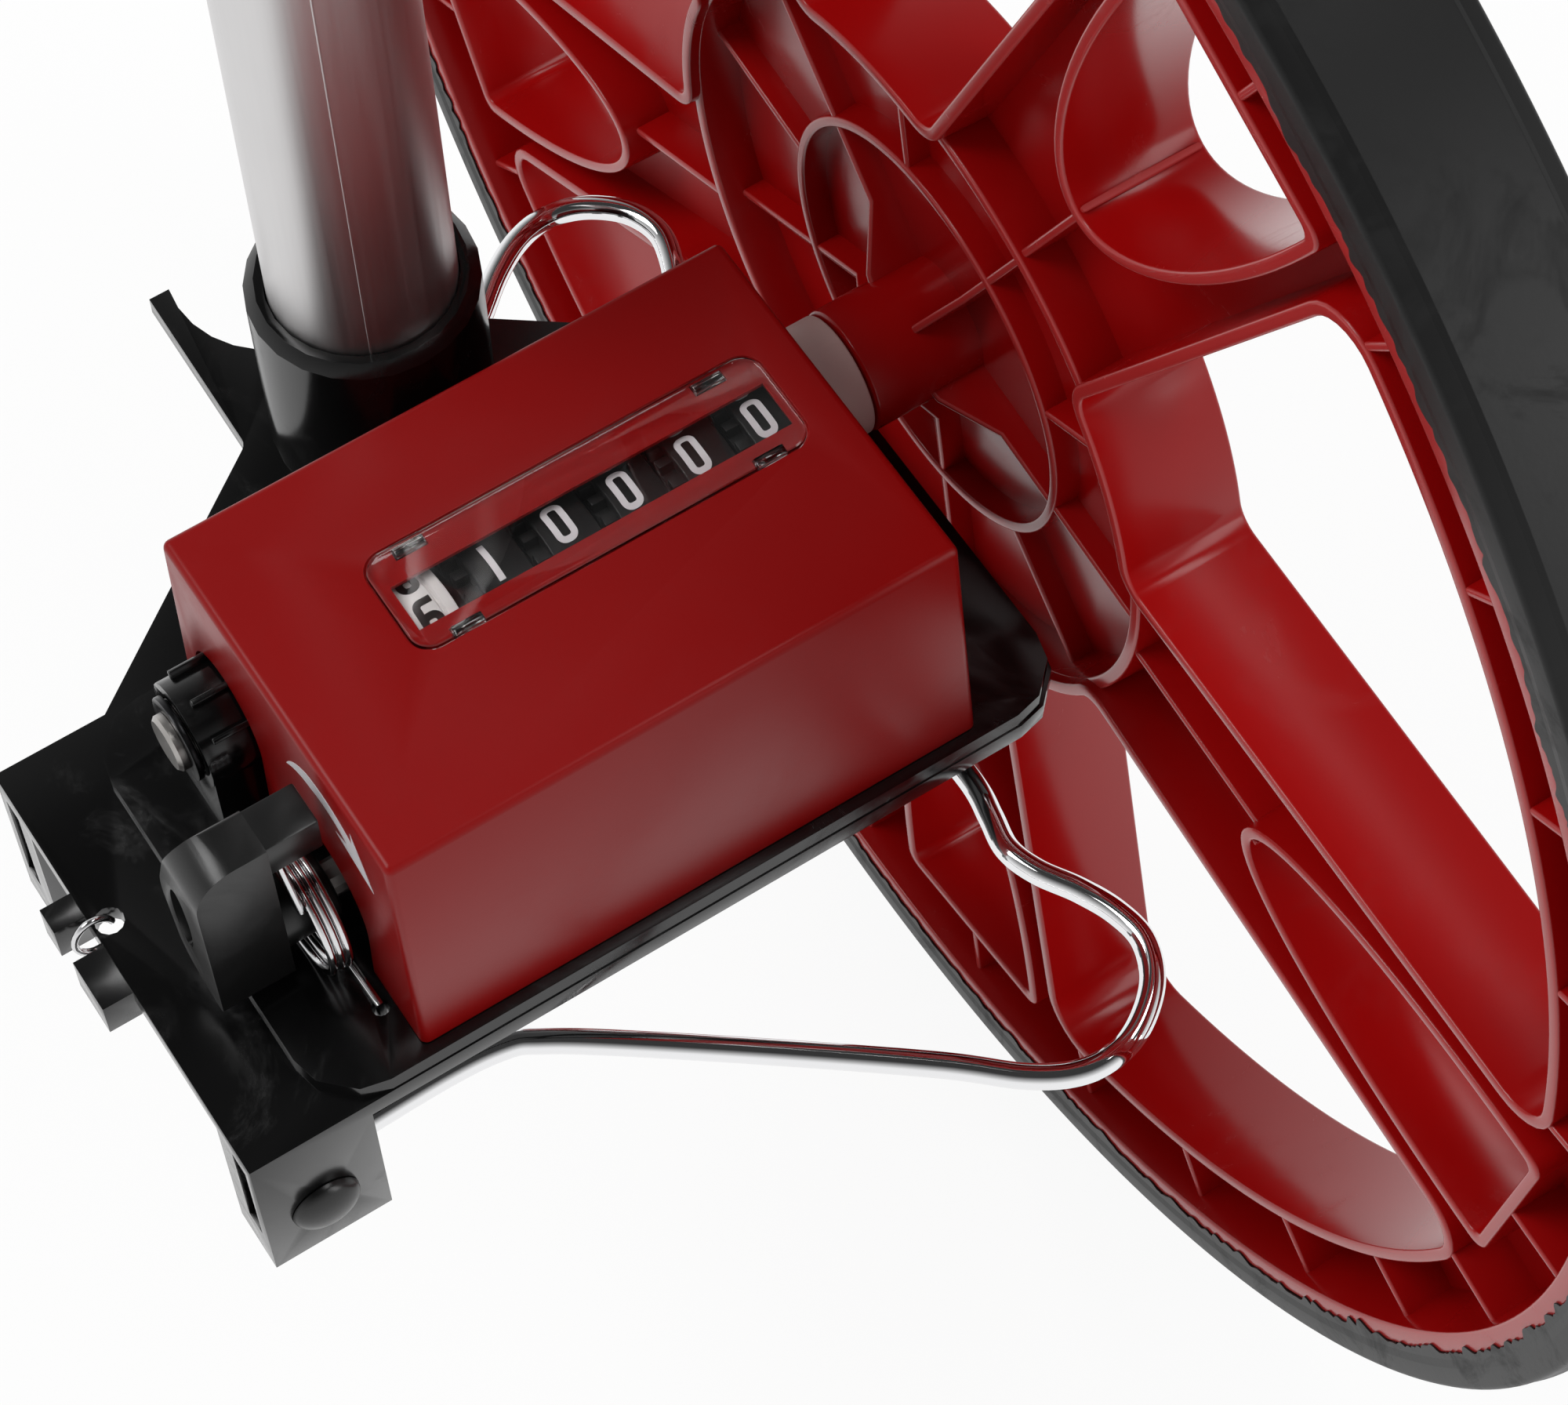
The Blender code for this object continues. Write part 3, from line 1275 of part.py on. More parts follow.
def make_collar(name, way):
    """One half of the fold joint; way is -1 for the lower half and 1 for the upper."""
    near = fold_height + way * fold_gap / 2
    far = near + way * collar_length
    low, high = min(near, far), max(near, far)
    collar = rod(name, collar_radius, (-tube_x, -tube_y, low), (-tube_x, -tube_y, high), parts, handle_steps)
    bore_end = near + way * (collar_length - collar_overlap)
    bore = rod(name + "_bore", tube_radius + gap, (-tube_x, -tube_y, bore_end),
               (-tube_x, -tube_y, far + way * overrun), steps=handle_steps)
    inner, outer = tongue_half + gap, ear_outer
    spans = [(-outer, -inner), (inner, outer)] if way < 0 else [(-tongue_half, tongue_half)]
    free = [(-inner, inner)] if way < 0 else [(-outer - overrun, -tongue_half - gap / 2),
                                              (tongue_half + gap / 2, outer + overrun)]
    extra = []
    for i, (start, end) in enumerate(spans):
        extra += knuckle_block("%s_knuckle_%d" % (name, i), -tube_y + start, -tube_y + end, way)
    room = [rod("%s_room_%d" % (name, i), knuckle_radius + running_gap, (fold_x, -tube_y + start, fold_height),
                (fold_x, -tube_y + end, fold_height)) for i, (start, end) in enumerate(free)]
    pin_hole = rod(name + "_pin_hole", fold_pin_radius + gap, (fold_x, -tube_y - outer - overrun, fold_height),
                   (fold_x, -tube_y + outer + overrun, fold_height), steps=tiny_steps)
    add(collar, extra)
    cut(collar, [bore, pin_hole] + room)
    return finish(collar, black, 0.4, smooth=35)


def make_fold_pin():
    head = ear_outer + gap
    tail = collar_radius + running_gap + knob_height / 2
    profile = [(0, head + fold_pin_head_height), (fold_pin_head, head + fold_pin_head_height), (fold_pin_head, head),
               (fold_pin_radius, head), (fold_pin_radius, -tail), (0, -tail)]
    pin = turned("fold_pin", profile, along_y(fold_x, fold_height) @ Matrix.Translation((0, 0, -tube_y)), parts,
                 tiny_steps)
    return finish(pin, steel, 0.3, 1.0, smooth=40)


def make_fold_knob():
    """A lobed knob on the hinge pin, turned by hand to lock the joint."""
    loop = []
    for i in range(knob_lobes * 4):
        angle = full_turn * i / (knob_lobes * 4)
        radius = knob_radius - knob_lobe_depth * (0.5 - 0.5 * math.cos(knob_lobes * angle))
        loop.append((radius * math.cos(angle), radius * math.sin(angle)))
    near = -tube_y - collar_radius - running_gap
    hub_end = -tube_y - ear_outer - running_gap
    knob = outline("fold_knob", [loop], knob_height, facing_y(fold_x, near - knob_height / 2, fold_height), parts)
    hub = rod("knob_hub", knob_hub_radius, (fold_x, near - embed, fold_height), (fold_x, hub_end, fold_height))
    hole = rod("knob_hole", fold_pin_radius + gap, (fold_x, hub_end + overrun, fold_height),
               (fold_x, near - knob_height / 2 - gap, fold_height), steps=tiny_steps)
    add(knob, [hub])
    cut(knob, [hole])
    finish(knob, black, 0.4, smooth=35)
    carry("fold_knob_axis", (fold_x, near, fold_height), [knob])


def make_upper_handle():
    at = upright(-tube_x, -tube_y)
    collar = make_collar("fold_joint_upper", 1)
    low = fold_height + fold_gap / 2 + collar_length - collar_overlap + gap
    high = handle_top - cap_height - gap
    tube = turned("upper_tube", tube_profile(tube_radius - gap, tube_radius - gap - tube_wall, low, high), at, parts, handle_steps)
    finish(tube, aluminium, 0.35, 1.0, smooth=40)
    grip_low = high - grip_length
    profile = [(grip_radius - grip_edge, high - gap), (grip_radius, high - gap - grip_edge),
               (grip_radius, grip_low + grip_edge), (grip_radius - grip_edge, grip_low),
               (tube_radius, grip_low), (tube_radius, high - gap)]
    grip = turned("grip", profile, at, parts, small_steps)
    finish(grip, black, 0.8, smooth=40)
    plug = tube_radius - gap - tube_wall - gap
    profile = [(0, handle_top), (grip_radius - grip_edge, handle_top), (grip_radius, handle_top - grip_edge),
               (grip_radius, high + gap), (plug, high + gap), (plug, high - cap_plug), (0, high - cap_plug)]
    cap = turned("end_cap", profile, at, parts, small_steps)
    finish(cap, black, 0.45, smooth=40)
    carry("handle_axis", (fold_x, -tube_y, fold_height), [collar, tube, grip, cap])


# Assembly

wheel_pieces = [make_wheel(), make_tyre()] + make_axle_group()
carry("wheel_axis", (0, 0, axle_height), wheel_pieces)
make_housing()
make_window()
make_drums()
make_pinions()
make_counter_frame()
make_reset_group()
make_reset_spring()
make_bracket()
make_bushes()
make_screws()
make_stand()
make_stand_spring()
make_lower_handle()
make_fold_pin()
make_fold_knob()
make_upper_handle()
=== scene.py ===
# %% [markdown]
# # A measuring wheel with a number counter
# The object is a walking counter. A red wheel one metre round rolls on the ground, a pair of
# gears turns six number drums in a red box, and a folding tube carries it all. This lesson
# dresses the construction model piece by piece. Everything is in metres, with +Z along the
# handle, +X forward and +Y from the counter towards the wheel.

import json
import math

import bmesh
import bpy
from mathutils import Matrix, Vector, noise

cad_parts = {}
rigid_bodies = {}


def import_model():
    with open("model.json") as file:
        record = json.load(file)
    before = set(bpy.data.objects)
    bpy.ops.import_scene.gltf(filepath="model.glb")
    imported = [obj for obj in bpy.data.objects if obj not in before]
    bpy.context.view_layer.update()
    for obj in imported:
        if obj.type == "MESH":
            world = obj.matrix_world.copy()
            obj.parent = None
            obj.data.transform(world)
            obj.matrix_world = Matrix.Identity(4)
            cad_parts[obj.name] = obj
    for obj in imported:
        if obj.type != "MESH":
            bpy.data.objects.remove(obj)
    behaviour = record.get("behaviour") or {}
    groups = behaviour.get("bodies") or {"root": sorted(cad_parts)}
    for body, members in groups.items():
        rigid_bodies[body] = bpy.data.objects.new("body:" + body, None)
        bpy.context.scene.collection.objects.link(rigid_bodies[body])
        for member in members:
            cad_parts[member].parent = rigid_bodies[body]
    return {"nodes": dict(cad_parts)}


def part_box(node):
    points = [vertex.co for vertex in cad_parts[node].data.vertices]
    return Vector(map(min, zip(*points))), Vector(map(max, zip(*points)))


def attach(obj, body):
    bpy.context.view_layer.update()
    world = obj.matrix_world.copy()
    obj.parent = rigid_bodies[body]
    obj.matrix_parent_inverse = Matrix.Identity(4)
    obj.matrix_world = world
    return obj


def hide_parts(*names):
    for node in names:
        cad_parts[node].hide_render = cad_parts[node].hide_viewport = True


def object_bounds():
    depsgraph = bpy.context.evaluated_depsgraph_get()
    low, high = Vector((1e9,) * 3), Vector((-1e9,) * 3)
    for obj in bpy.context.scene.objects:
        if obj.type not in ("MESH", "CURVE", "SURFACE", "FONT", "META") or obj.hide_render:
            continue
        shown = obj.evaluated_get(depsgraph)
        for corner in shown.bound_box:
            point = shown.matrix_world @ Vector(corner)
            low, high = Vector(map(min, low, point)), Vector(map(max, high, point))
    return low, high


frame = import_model()
cad_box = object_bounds()
mm = 0.001
scene = bpy.context.scene
print("construction model", [round(v, 4) for v in cad_box[1] - cad_box[0]])


# %% Put things in the scene
def placed(name, data):
    """An object at the origin that shows the given data."""
    made = bpy.data.objects.new(name, data)
    scene.collection.objects.link(made)
    return made


def piece_from(bm, name, outward=False):
    """Close a bmesh into a plain piece; outward turns all its faces out first."""
    if outward:
        bmesh.ops.recalc_face_normals(bm, faces=bm.faces)
    mesh = bpy.data.meshes.new(name)
    bm.to_mesh(mesh)
    bm.free()
    return placed(name, mesh)


# %% [markdown]
# ## Camera, floor and light
# The photograph looks steeply down on the counter from the front left, with a long lens. The
# floor is a white sheet that stays white to the camera but still takes a soft shadow. The room
# is white around the object and dim overhead, so that the wire and the gloss have something
# dark to show beside the soft lamps.

# %% Camera of the photograph
right_way = Vector((0.54128391, 0.84066415, -0.01719069))
down_way = Vector((0.72962981, -0.47975654, -0.48731305))
forward_way = Vector((-0.41791396, 0.25123187, -0.87305811))
camera_place = Vector((0.28574, -0.20006, 0.67728))
sensor_width = 36
focal_length = 107.553
farthest_seen = 50

camera_data = bpy.data.cameras.new("photograph_camera")
camera_data.sensor_width = sensor_width
camera_data.sensor_fit = "HORIZONTAL"
camera_data.lens = focal_length
camera_data.clip_end = farthest_seen
camera = placed("photograph_camera", camera_data)
turn = Matrix((right_way, -down_way, -forward_way)).transposed()
camera.matrix_world = Matrix.Translation(camera_place) @ turn.to_4x4()
scene.camera = camera
scene.view_settings.view_transform = "Standard"
print("camera with a lens of", focal_length, "mm")


# %% Node helpers
def wired(tree, kind, inputs=(), **settings):
    """Add a node, set its properties, and link or set its inputs by name or number."""
    node = tree.nodes.new(kind)
    for key, value in settings.items():
        setattr(node, key, value)
    for key, value in dict(inputs).items():
        if isinstance(value, bpy.types.NodeSocket):
            tree.links.new(value, node.inputs[key])
        else:
            node.inputs[key].default_value = value
    return node


def math_node(tree, operation, *values):
    return wired(tree, "ShaderNodeMath", enumerate(values), operation=operation).outputs[0]


def emptied(owner):
    """Switch a material or a world to nodes and start from an empty tree."""
    owner.use_nodes = True
    owner.node_tree.nodes.clear()
    return owner.node_tree


def ray_masks(tree):
    """One mask for rays from the camera, one for rays that a gloss or the lens sends on."""
    rays = wired(tree, "ShaderNodeLightPath").outputs
    sent_on = math_node(tree, "MAXIMUM", rays["Is Glossy Ray"], rays["Is Transmission Ray"])
    return rays["Is Camera Ray"], sent_on


# %% Floor
floor_half = 9.0
floor_gap = 0.2 * mm
white = (1, 1, 1, 1)
floor_grey = (0.9, 0.9, 0.9, 1)
floor_glow_share = 0.92

bm = bmesh.new()
bmesh.ops.create_grid(bm, x_segments=2, y_segments=2, size=floor_half)
bmesh.ops.translate(bm, verts=bm.verts, vec=(0, 0, cad_box[0].z - floor_gap))
floor = piece_from(bm, "floor")
paper = bpy.data.materials.new("white_paper")
tree = emptied(paper)
seen = math_node(tree, "MAXIMUM", *ray_masks(tree))
glow = wired(tree, "ShaderNodeEmission", {"Color": white, "Strength": 1.0})
matt = wired(tree, "ShaderNodeBsdfDiffuse", {"Color": floor_grey})
blend = wired(tree, "ShaderNodeMixShader", {0: math_node(tree, "MULTIPLY", seen, floor_glow_share),
                                            1: matt.outputs[0], 2: glow.outputs[0]})
wired(tree, "ShaderNodeOutputMaterial", {"Surface": blend.outputs[0]})
floor.data.materials.append(paper)
print("floor", 2 * floor_half, "m wide")

# %% Room
room_fill = 0.55
room_walls = 0.95
room_ceiling = 0.04
# Upward part of a view direction: where the walls end and where the ceiling starts
walls_end, ceiling_start = 0.05, 0.85

world = bpy.data.worlds.new("white_room")
scene.world = world
tree = emptied(world)
from_camera, sent_on = ray_masks(tree)
way = wired(tree, "ShaderNodeSeparateXYZ", {0: wired(tree, "ShaderNodeTexCoord").outputs["Generated"]})
height = wired(tree, "ShaderNodeMapRange", {
    "Value": way.outputs["Z"], "From Min": walls_end, "From Max": ceiling_start,
    "To Min": room_walls, "To Max": room_ceiling})
level = wired(tree, "ShaderNodeMix", {"Factor": sent_on, "A": room_fill, "B": height.outputs[0]})
level = wired(tree, "ShaderNodeMix", {"Factor": from_camera, "A": level.outputs[0], "B": 1.0})
room = wired(tree, "ShaderNodeBackground", {"Color": white, "Strength": level.outputs[0]})
wired(tree, "ShaderNodeOutputWorld", {"Surface": room.outputs[0]})
print("room from", room_walls, "at its walls to", room_ceiling, "at its ceiling")

# %% Soft lamps
lamp_target = Vector((0.02, -0.06, 0.17))
# Name, place, width, depth and power
soft_lamps = (
    ("key_lamp", (-0.55, -0.95, 1.55), 0.9, 0.7, 13),
    ("side_lamp", (1.25, 0.75, 0.95), 0.5, 1.1, 6),
    ("top_lamp", (0.25, 0.55, 1.9), 0.8, 0.35, 5),
)
for name, place, width, depth, power in soft_lamps:
    data = bpy.data.lights.new(name, "AREA")
    data.shape = "RECTANGLE"
    data.size = width
    data.size_y = depth
    data.energy = power
    lamp = placed(name, data)
    lamp.location = place
    lamp.rotation_euler = (lamp_target - Vector(place)).to_track_quat("-Z", "Y").to_euler()
print(len(soft_lamps), "soft lamps")

# %% [markdown]
# ## Finishes
# Nearly everything here is injection moulded plastic, so one group of nodes gives every plastic
# its fine grain, its slight change of tone and the rubbed marks of handling. A second group
# draws the long fine lines of extruded and turned metal. Each material then sets its own values.


# %% Helpers for groups
def node_group(name, kind, inputs, outputs):
    """A node group with named sockets: the group, what it is given and what it puts out."""
    group = bpy.data.node_groups.new(name, kind)
    for label, socket, *value in inputs:
        made = group.interface.new_socket(label, in_out="INPUT", socket_type="NodeSocket" + socket)
        if value:
            made.default_value = value[0]
    for label, socket in outputs:
        group.interface.new_socket(label, in_out="OUTPUT", socket_type="NodeSocket" + socket)
    return group, group.nodes.new("NodeGroupInput").outputs, group.nodes.new("NodeGroupOutput").inputs


def noise_mask(tree, place, scale, detail, roughness=0.5, distortion=0.0):
    """A mask between 0 and 1 that changes over the surface."""
    return wired(tree, "ShaderNodeTexNoise", {
        "Vector": place, "Scale": scale, "Detail": detail, "Roughness": roughness,
        "Distortion": distortion}).outputs[0]


# %% Group for moulded surfaces
def make_moulded_group():
    group, given, result = node_group(
        "moulded_surface", "ShaderNodeTree",
        [("Grain Scale", "Float", 900.0), ("Mark Scale", "Float", 60.0)],
        [("Height", "Float"), ("Tone", "Float"), ("Marks", "Float")])
    place = wired(group, "ShaderNodeTexCoord").outputs["Object"]
    marks = noise_mask(group, place, given["Mark Scale"], 8.0, 0.75, 1.2)
    rubbed = wired(group, "ShaderNodeMapRange", {"Value": marks, "From Min": 0.52, "From Max": 0.72})
    group.links.new(noise_mask(group, place, given["Grain Scale"], 3.0, 0.6), result["Height"])
    group.links.new(noise_mask(group, place, given["Mark Scale"], 4.0), result["Tone"])
    group.links.new(rubbed.outputs[0], result["Marks"])
    return group


moulded_group = make_moulded_group()


# %% Group for drawn and turned metal
def make_drawn_group():
    group, given, result = node_group(
        "drawn_lines", "ShaderNodeTree",
        [("Stretch", "Vector", (1, 1, 1)), ("Scale", "Float", 900.0)],
        [("Height", "Float"), ("Tone", "Float")])
    place = wired(group, "ShaderNodeTexCoord").outputs["Object"]
    drawn = wired(group, "ShaderNodeVectorMath", {0: place, 1: given["Stretch"]}, operation="MULTIPLY")
    group.links.new(noise_mask(group, drawn.outputs[0], given["Scale"], 5.0), result["Height"])
    group.links.new(noise_mask(group, place, 45.0, 3.0), result["Tone"])
    return group


drawn_group = make_drawn_group()
print(len(bpy.data.node_groups), "groups of nodes")


# %% What every finish does
def start_finish(name, group, sizes):
    """A material with one group placed in it: the material, its tree, its shader, the group's outputs."""
    made = bpy.data.materials.new(name)
    made.use_nodes = True
    surface = wired(made.node_tree, "ShaderNodeGroup", sizes, node_tree=group)
    return made, made.node_tree, made.node_tree.nodes["Principled BSDF"], surface.outputs


def between(tree, share, first, second):
    """The first colour where the share is 0 and the second where it is 1."""
    return wired(tree, "ShaderNodeMix", {"Factor": share, 6: first, 7: second}, data_type="RGBA").outputs[2]


def roughen(tree, shader, mask, spread, roughness, height, depth):
    """Roughness that follows a mask, and a bump with a depth in millimetres."""
    rough = math_node(tree, "MULTIPLY_ADD", mask, spread, roughness)
    tree.links.new(rough, shader.inputs["Roughness"])
    bump = wired(tree, "ShaderNodeBump", {"Height": height, "Distance": depth * mm, "Strength": 1.0})
    tree.links.new(bump.outputs[0], shader.inputs["Normal"])


# %% One builder for plastics and rubber
mark_scale = 55.0
# Pointiness where an edge starts to wear and where it is fully worn
wear_start, wear_full = 0.53, 0.62


def plastic(name, colour, lighter, roughness, grain=900.0, depth=0.004, rubbed=0.12, tone=0.25,
            worn=0.15, gloss=0.5, painted_highlight=None):
    """A moulded finish: two colours, grain height in millimetres, rubbed gloss, worn edges and, if given, a
    painted highlight colour along the crests.
    """
    made, tree, shader, surface = start_finish(
        name, moulded_group, {"Grain Scale": grain, "Mark Scale": mark_scale})
    shader.inputs["Specular IOR Level"].default_value = gloss
    pointed = wired(tree, "ShaderNodeNewGeometry").outputs["Pointiness"]
    sharp = wired(tree, "ShaderNodeMapRange", {
        "Value": pointed, "From Min": wear_start, "From Max": wear_full, "To Max": worn})
    toned = math_node(tree, "MULTIPLY", surface["Tone"], tone)
    shade = between(tree, math_node(tree, "ADD", toned, sharp.outputs[0]), (*colour, 1), (*lighter, 1))
    # Painted highlight: a paler red goes where the crest attribute is high, in place of light caught on the
    # wall crests
    if painted_highlight:
        crest = wired(tree, "ShaderNodeAttribute", attribute_name="crest").outputs["Fac"]
        shade = between(tree, crest, shade, (*painted_highlight, 1))
    tree.links.new(shade, shader.inputs["Base Color"])
    roughen(tree, shader, surface["Marks"], rubbed, roughness, surface["Height"], depth)
    return made


# %% One builder for metals
def metal(name, colour, roughness, stretch=(1, 1, 1), scale=900.0, depth=0.003, spread=0.1, dull=0.75):
    """A metal finish with drawn lines; stretch squeezes the lines along one axis."""
    made, tree, shader, surface = start_finish(name, drawn_group, {"Stretch": stretch, "Scale": scale})
    shader.inputs["Metallic"].default_value = 1.0
    duller = [part * dull for part in colour]
    tree.links.new(between(tree, surface["Tone"], (*colour, 1), (*duller, 1)), shader.inputs["Base Color"])
    roughen(tree, shader, surface["Height"], spread, roughness, surface["Height"], depth)
    return made


def grey(level):
    return (level, level, level)


# %% Plastics, rubber and foam of this wheel
# The wheel red's third, paler colour is a painted highlight for the wall crests
wheel_red = plastic("glossy_red_plastic", (0.285, 0.0016, 0.0018), (0.36, 0.004, 0.0042), 0.2,
                    grain=700, depth=0.003, gloss=0.3, painted_highlight=(0.38, 0.042, 0.041))
cover_red = plastic("satin_red_cover", (0.22, 0.0016, 0.0016), (0.25, 0.0035, 0.0035), 0.32,
                    grain=1500, depth=0.006, rubbed=0.06, gloss=0.2)
gloss_black = plastic("gloss_black_plastic", (0.002, 0.002, 0.0021), grey(0.005), 0.16,
                      grain=500, depth=0.004, rubbed=0.2)
matt_black = plastic("matt_black_plastic", grey(0.003), grey(0.008), 0.3, grain=2200, depth=0.008, rubbed=0.1)
tyre_black = plastic("moulded_tyre_rubber", grey(0.003), grey(0.009), 0.42,
                     grain=500, depth=0.02, rubbed=0.2, tone=0.5, gloss=0.3)
drum_black = plastic("drum_black_plastic", grey(0.003), grey(0.006), 0.4, grain=1500, depth=0.003, gloss=0.25)
drum_white = plastic("drum_white_plastic", (0.62, 0.60, 0.59), (0.72, 0.71, 0.70), 0.38,
                     grain=1500, depth=0.003, worn=0.0)
print_white = plastic("printed_white_ink", (0.62, 0.60, 0.62), (0.72, 0.70, 0.72), 0.5,
                      grain=3000, depth=0.002, worn=0.0)
pale_plastic = plastic("pale_spacer_plastic", (0.50, 0.38, 0.36), (0.60, 0.48, 0.45), 0.42)
grip_foam = plastic("black_grip_foam", grey(0.012), (0.035, 0.035, 0.036), 0.8,
                    grain=1600, depth=0.08, rubbed=0.05, tone=0.5)
print(len(bpy.data.materials), "materials so far")

# %% Metals of this wheel
tube_metal = metal("drawn_aluminium", (0.72, 0.71, 0.71), 0.34,
                   stretch=(1, 1, 0.012), scale=1400, depth=0.004, spread=0.12, dull=0.9)
steel = metal("turned_steel", (0.50, 0.48, 0.46), 0.3, scale=1200, depth=0.006)
chrome = metal("bright_chrome", (0.86, 0.86, 0.87), 0.045, scale=500, depth=0.001, spread=0.03, dull=0.95)
spring_steel = metal("bright_spring_steel", (0.74, 0.74, 0.75), 0.1, depth=0.002, spread=0.06, dull=0.9)
dark_steel = metal("blackened_steel", (0.035, 0.035, 0.037), 0.25, scale=1200, depth=0.004)
brass = metal("gear_brass", (0.62, 0.42, 0.14), 0.3, scale=1000, depth=0.005)


# %% Clear plastic of the lens
def make_lens_finish():
    """Clear plastic; the shadow rays pass, so the drums behind it stay lit."""
    made, tree, shader, surface = start_finish(
        "clear_lens_plastic", moulded_group, {"Grain Scale": 400.0, "Mark Scale": 150.0})
    shader.inputs["Base Color"].default_value = (0.96, 0.95, 0.95, 1)
    shader.inputs["IOR"].default_value = 1.47
    shader.inputs["Specular IOR Level"].default_value = 0.25
    shader.inputs["Transmission Weight"].default_value = 1.0
    roughen(tree, shader, surface["Marks"], 0.1, 0.02, surface["Height"], 0.002)
    passing = wired(tree, "ShaderNodeBsdfTransparent", {"Color": (*grey(0.9), 1)})
    shadow = wired(tree, "ShaderNodeLightPath").outputs["Is Shadow Ray"]
    blend = wired(tree, "ShaderNodeMixShader", {0: shadow, 1: shader.outputs[0], 2: passing.outputs[0]})
    tree.links.new(blend.outputs[0], tree.nodes["Material Output"].inputs["Surface"])
    return made


lens_clear = make_lens_finish()
print(len(bpy.data.materials), "materials")

# %% [markdown]
# ## Shaping tools
# Moulded and turned pieces come from outlines. These helpers draw rounded outlines, turn a
# profile round an axis, thicken a flat outline and sweep a wire. Each gives a plain mesh whose
# object stays at the origin, with its place in its points.


# %% Outlines
def arc(centre, radius, start, end, count):
    """Points on a circle from one angle to another, in degrees, both ends included."""
    angles = [math.radians(start + (end - start) * i / count) for i in range(count + 1)]
    return [(centre[0] + radius * math.cos(a), centre[1] + radius * math.sin(a)) for a in angles]


def circle(radius, count):
    return arc((0, 0), radius, 0, 360 - 360 / count, count - 1)


def rounded(corners, steps=6, closed=True):
    """A path from (u, v, radius) corners, each rounded by its own radius."""
    made = []
    count = len(corners)
    for i, (u, v, radius) in enumerate(corners):
        here = Vector((u, v))
        at_end = not closed and i in (0, count - 1)
        if radius == 0 or at_end:
            made.append((u, v))
            continue
        before = (Vector(corners[i - 1][:2]) - here).normalized()
        after = (Vector(corners[(i + 1) % count][:2]) - here).normalized()
        half = before.angle(after) / 2
        centre = here + (before + after).normalized() * radius / math.sin(half)
        first = here + before * radius / math.tan(half) - centre
        last = here + after * radius / math.tan(half) - centre
        for step in range(steps + 1):
            spot = centre + first.slerp(last, step / steps) * radius
            made.append((spot.x, spot.y))
    return made


# %% Places
def along_y(x, z):
    """Local Z lies along world +Y through the given place."""
    return Matrix.Translation((x, 0, z)) @ Matrix.Rotation(-math.pi / 2, 4, "X")


def facing_y(x, y, z):
    """Local X and Y lie along world X and Z, and the thickness along Y."""
    return Matrix.Translation((x, y, z)) @ Matrix.Rotation(math.pi / 2, 4, "X")


def upright(x, y, z=0.0):
    return Matrix.Translation((x, y, z))


# %% From a modifier stack or several pieces to one plain object
weld_distance = 0.001 * mm
flat_angle = 0.5
# The construction meshes are loose triangles and are welded a little more loosely
node_weld_distance = 0.002 * mm
node_flat_angle = 1


def baked(obj, name):
    """The evaluated object as a plain mesh object; the maker is removed."""
    bpy.context.view_layer.update()
    depsgraph = bpy.context.evaluated_depsgraph_get()
    mesh = bpy.data.meshes.new_from_object(obj.evaluated_get(depsgraph), preserve_all_data_layers=True,
                                           depsgraph=depsgraph)
    bpy.data.objects.remove(obj, do_unlink=True)
    mesh.name = name
    return placed(name, mesh)


def joined(name, pieces):
    """Several pieces in one mesh, with their attributes kept."""
    bm = bmesh.new()
    for piece in pieces:
        bm.from_mesh(piece.data)
        bpy.data.objects.remove(piece, do_unlink=True)
    return piece_from(bm, name)


def weld(bm, distance, degrees):
    """Merge doubled points, then melt the edges between faces that lie flat."""
    bmesh.ops.remove_doubles(bm, verts=bm.verts, dist=distance)
    if degrees:
        bmesh.ops.dissolve_limit(bm, angle_limit=math.radians(degrees), verts=bm.verts, edges=bm.edges)


def from_curve(name, curve, degrees, place):
    """A curve's surface as a welded mesh in its place."""
    made = baked(placed(name, curve), name)
    bm = bmesh.new()
    bm.from_mesh(made.data)
    weld(bm, weld_distance, degrees)
    bm.transform(place)
    bm.to_mesh(made.data)
    bm.free()
    return made


# %% Turned pieces
def turned(name, profile, place, steps=96):
    """Turn (radius, height) points about local Z; a profile off the axis closes on itself."""
    bm = bmesh.new()
    rings = []
    for radius, height in profile:
        count = steps if radius > 0 else 1
        rings.append([bm.verts.new((radius * math.cos(math.tau * i / steps),
                                    radius * math.sin(math.tau * i / steps), height)) for i in range(count)])
    pairs = list(zip(rings, rings[1:]))
    if len(rings[0]) > 1:
        pairs.append((rings[-1], rings[0]))
    for first, second in pairs:
        for i in range(steps):
            j = (i + 1) % steps
            corners = [first[i % len(first)], first[j % len(first)],
                       second[j % len(second)], second[i % len(second)]]
            corners = list(dict.fromkeys(corners))
            if len(corners) > 2:
                bm.faces.new(corners)
    bm.transform(place)
    return piece_from(bm, name, outward=True)


def sleeve(name, outer, inner, low, high, place, edge=0.4 * mm, steps=96):
    """A ring or tube with rounded edges."""
    profile = rounded([(outer, high, edge), (outer, low, edge), (inner, low, edge / 2),
                       (inner, high, edge / 2)], 3)
    return turned(name, profile, place, steps)


# %% Flat outlines and wires
def flat_shape(name, loops, thickness, place, edge=0.0, edge_steps=2):
    """A flat shape from closed loops, thickened to both sides, with softened edges if asked."""
    curve = bpy.data.curves.new(name, "CURVE")
    curve.dimensions = "2D"
    curve.fill_mode = "BOTH"
    curve.extrude = thickness / 2
    for loop in loops:
        spline = curve.splines.new("POLY")
        spline.points.add(len(loop) - 1)
        for point, (u, v) in zip(spline.points, loop):
            point.co = (u, v, 0, 1)
        spline.use_cyclic_u = True
    flat = from_curve(name, curve, flat_angle, place)
    return softer(flat, name, edge, edge_steps) if edge else flat


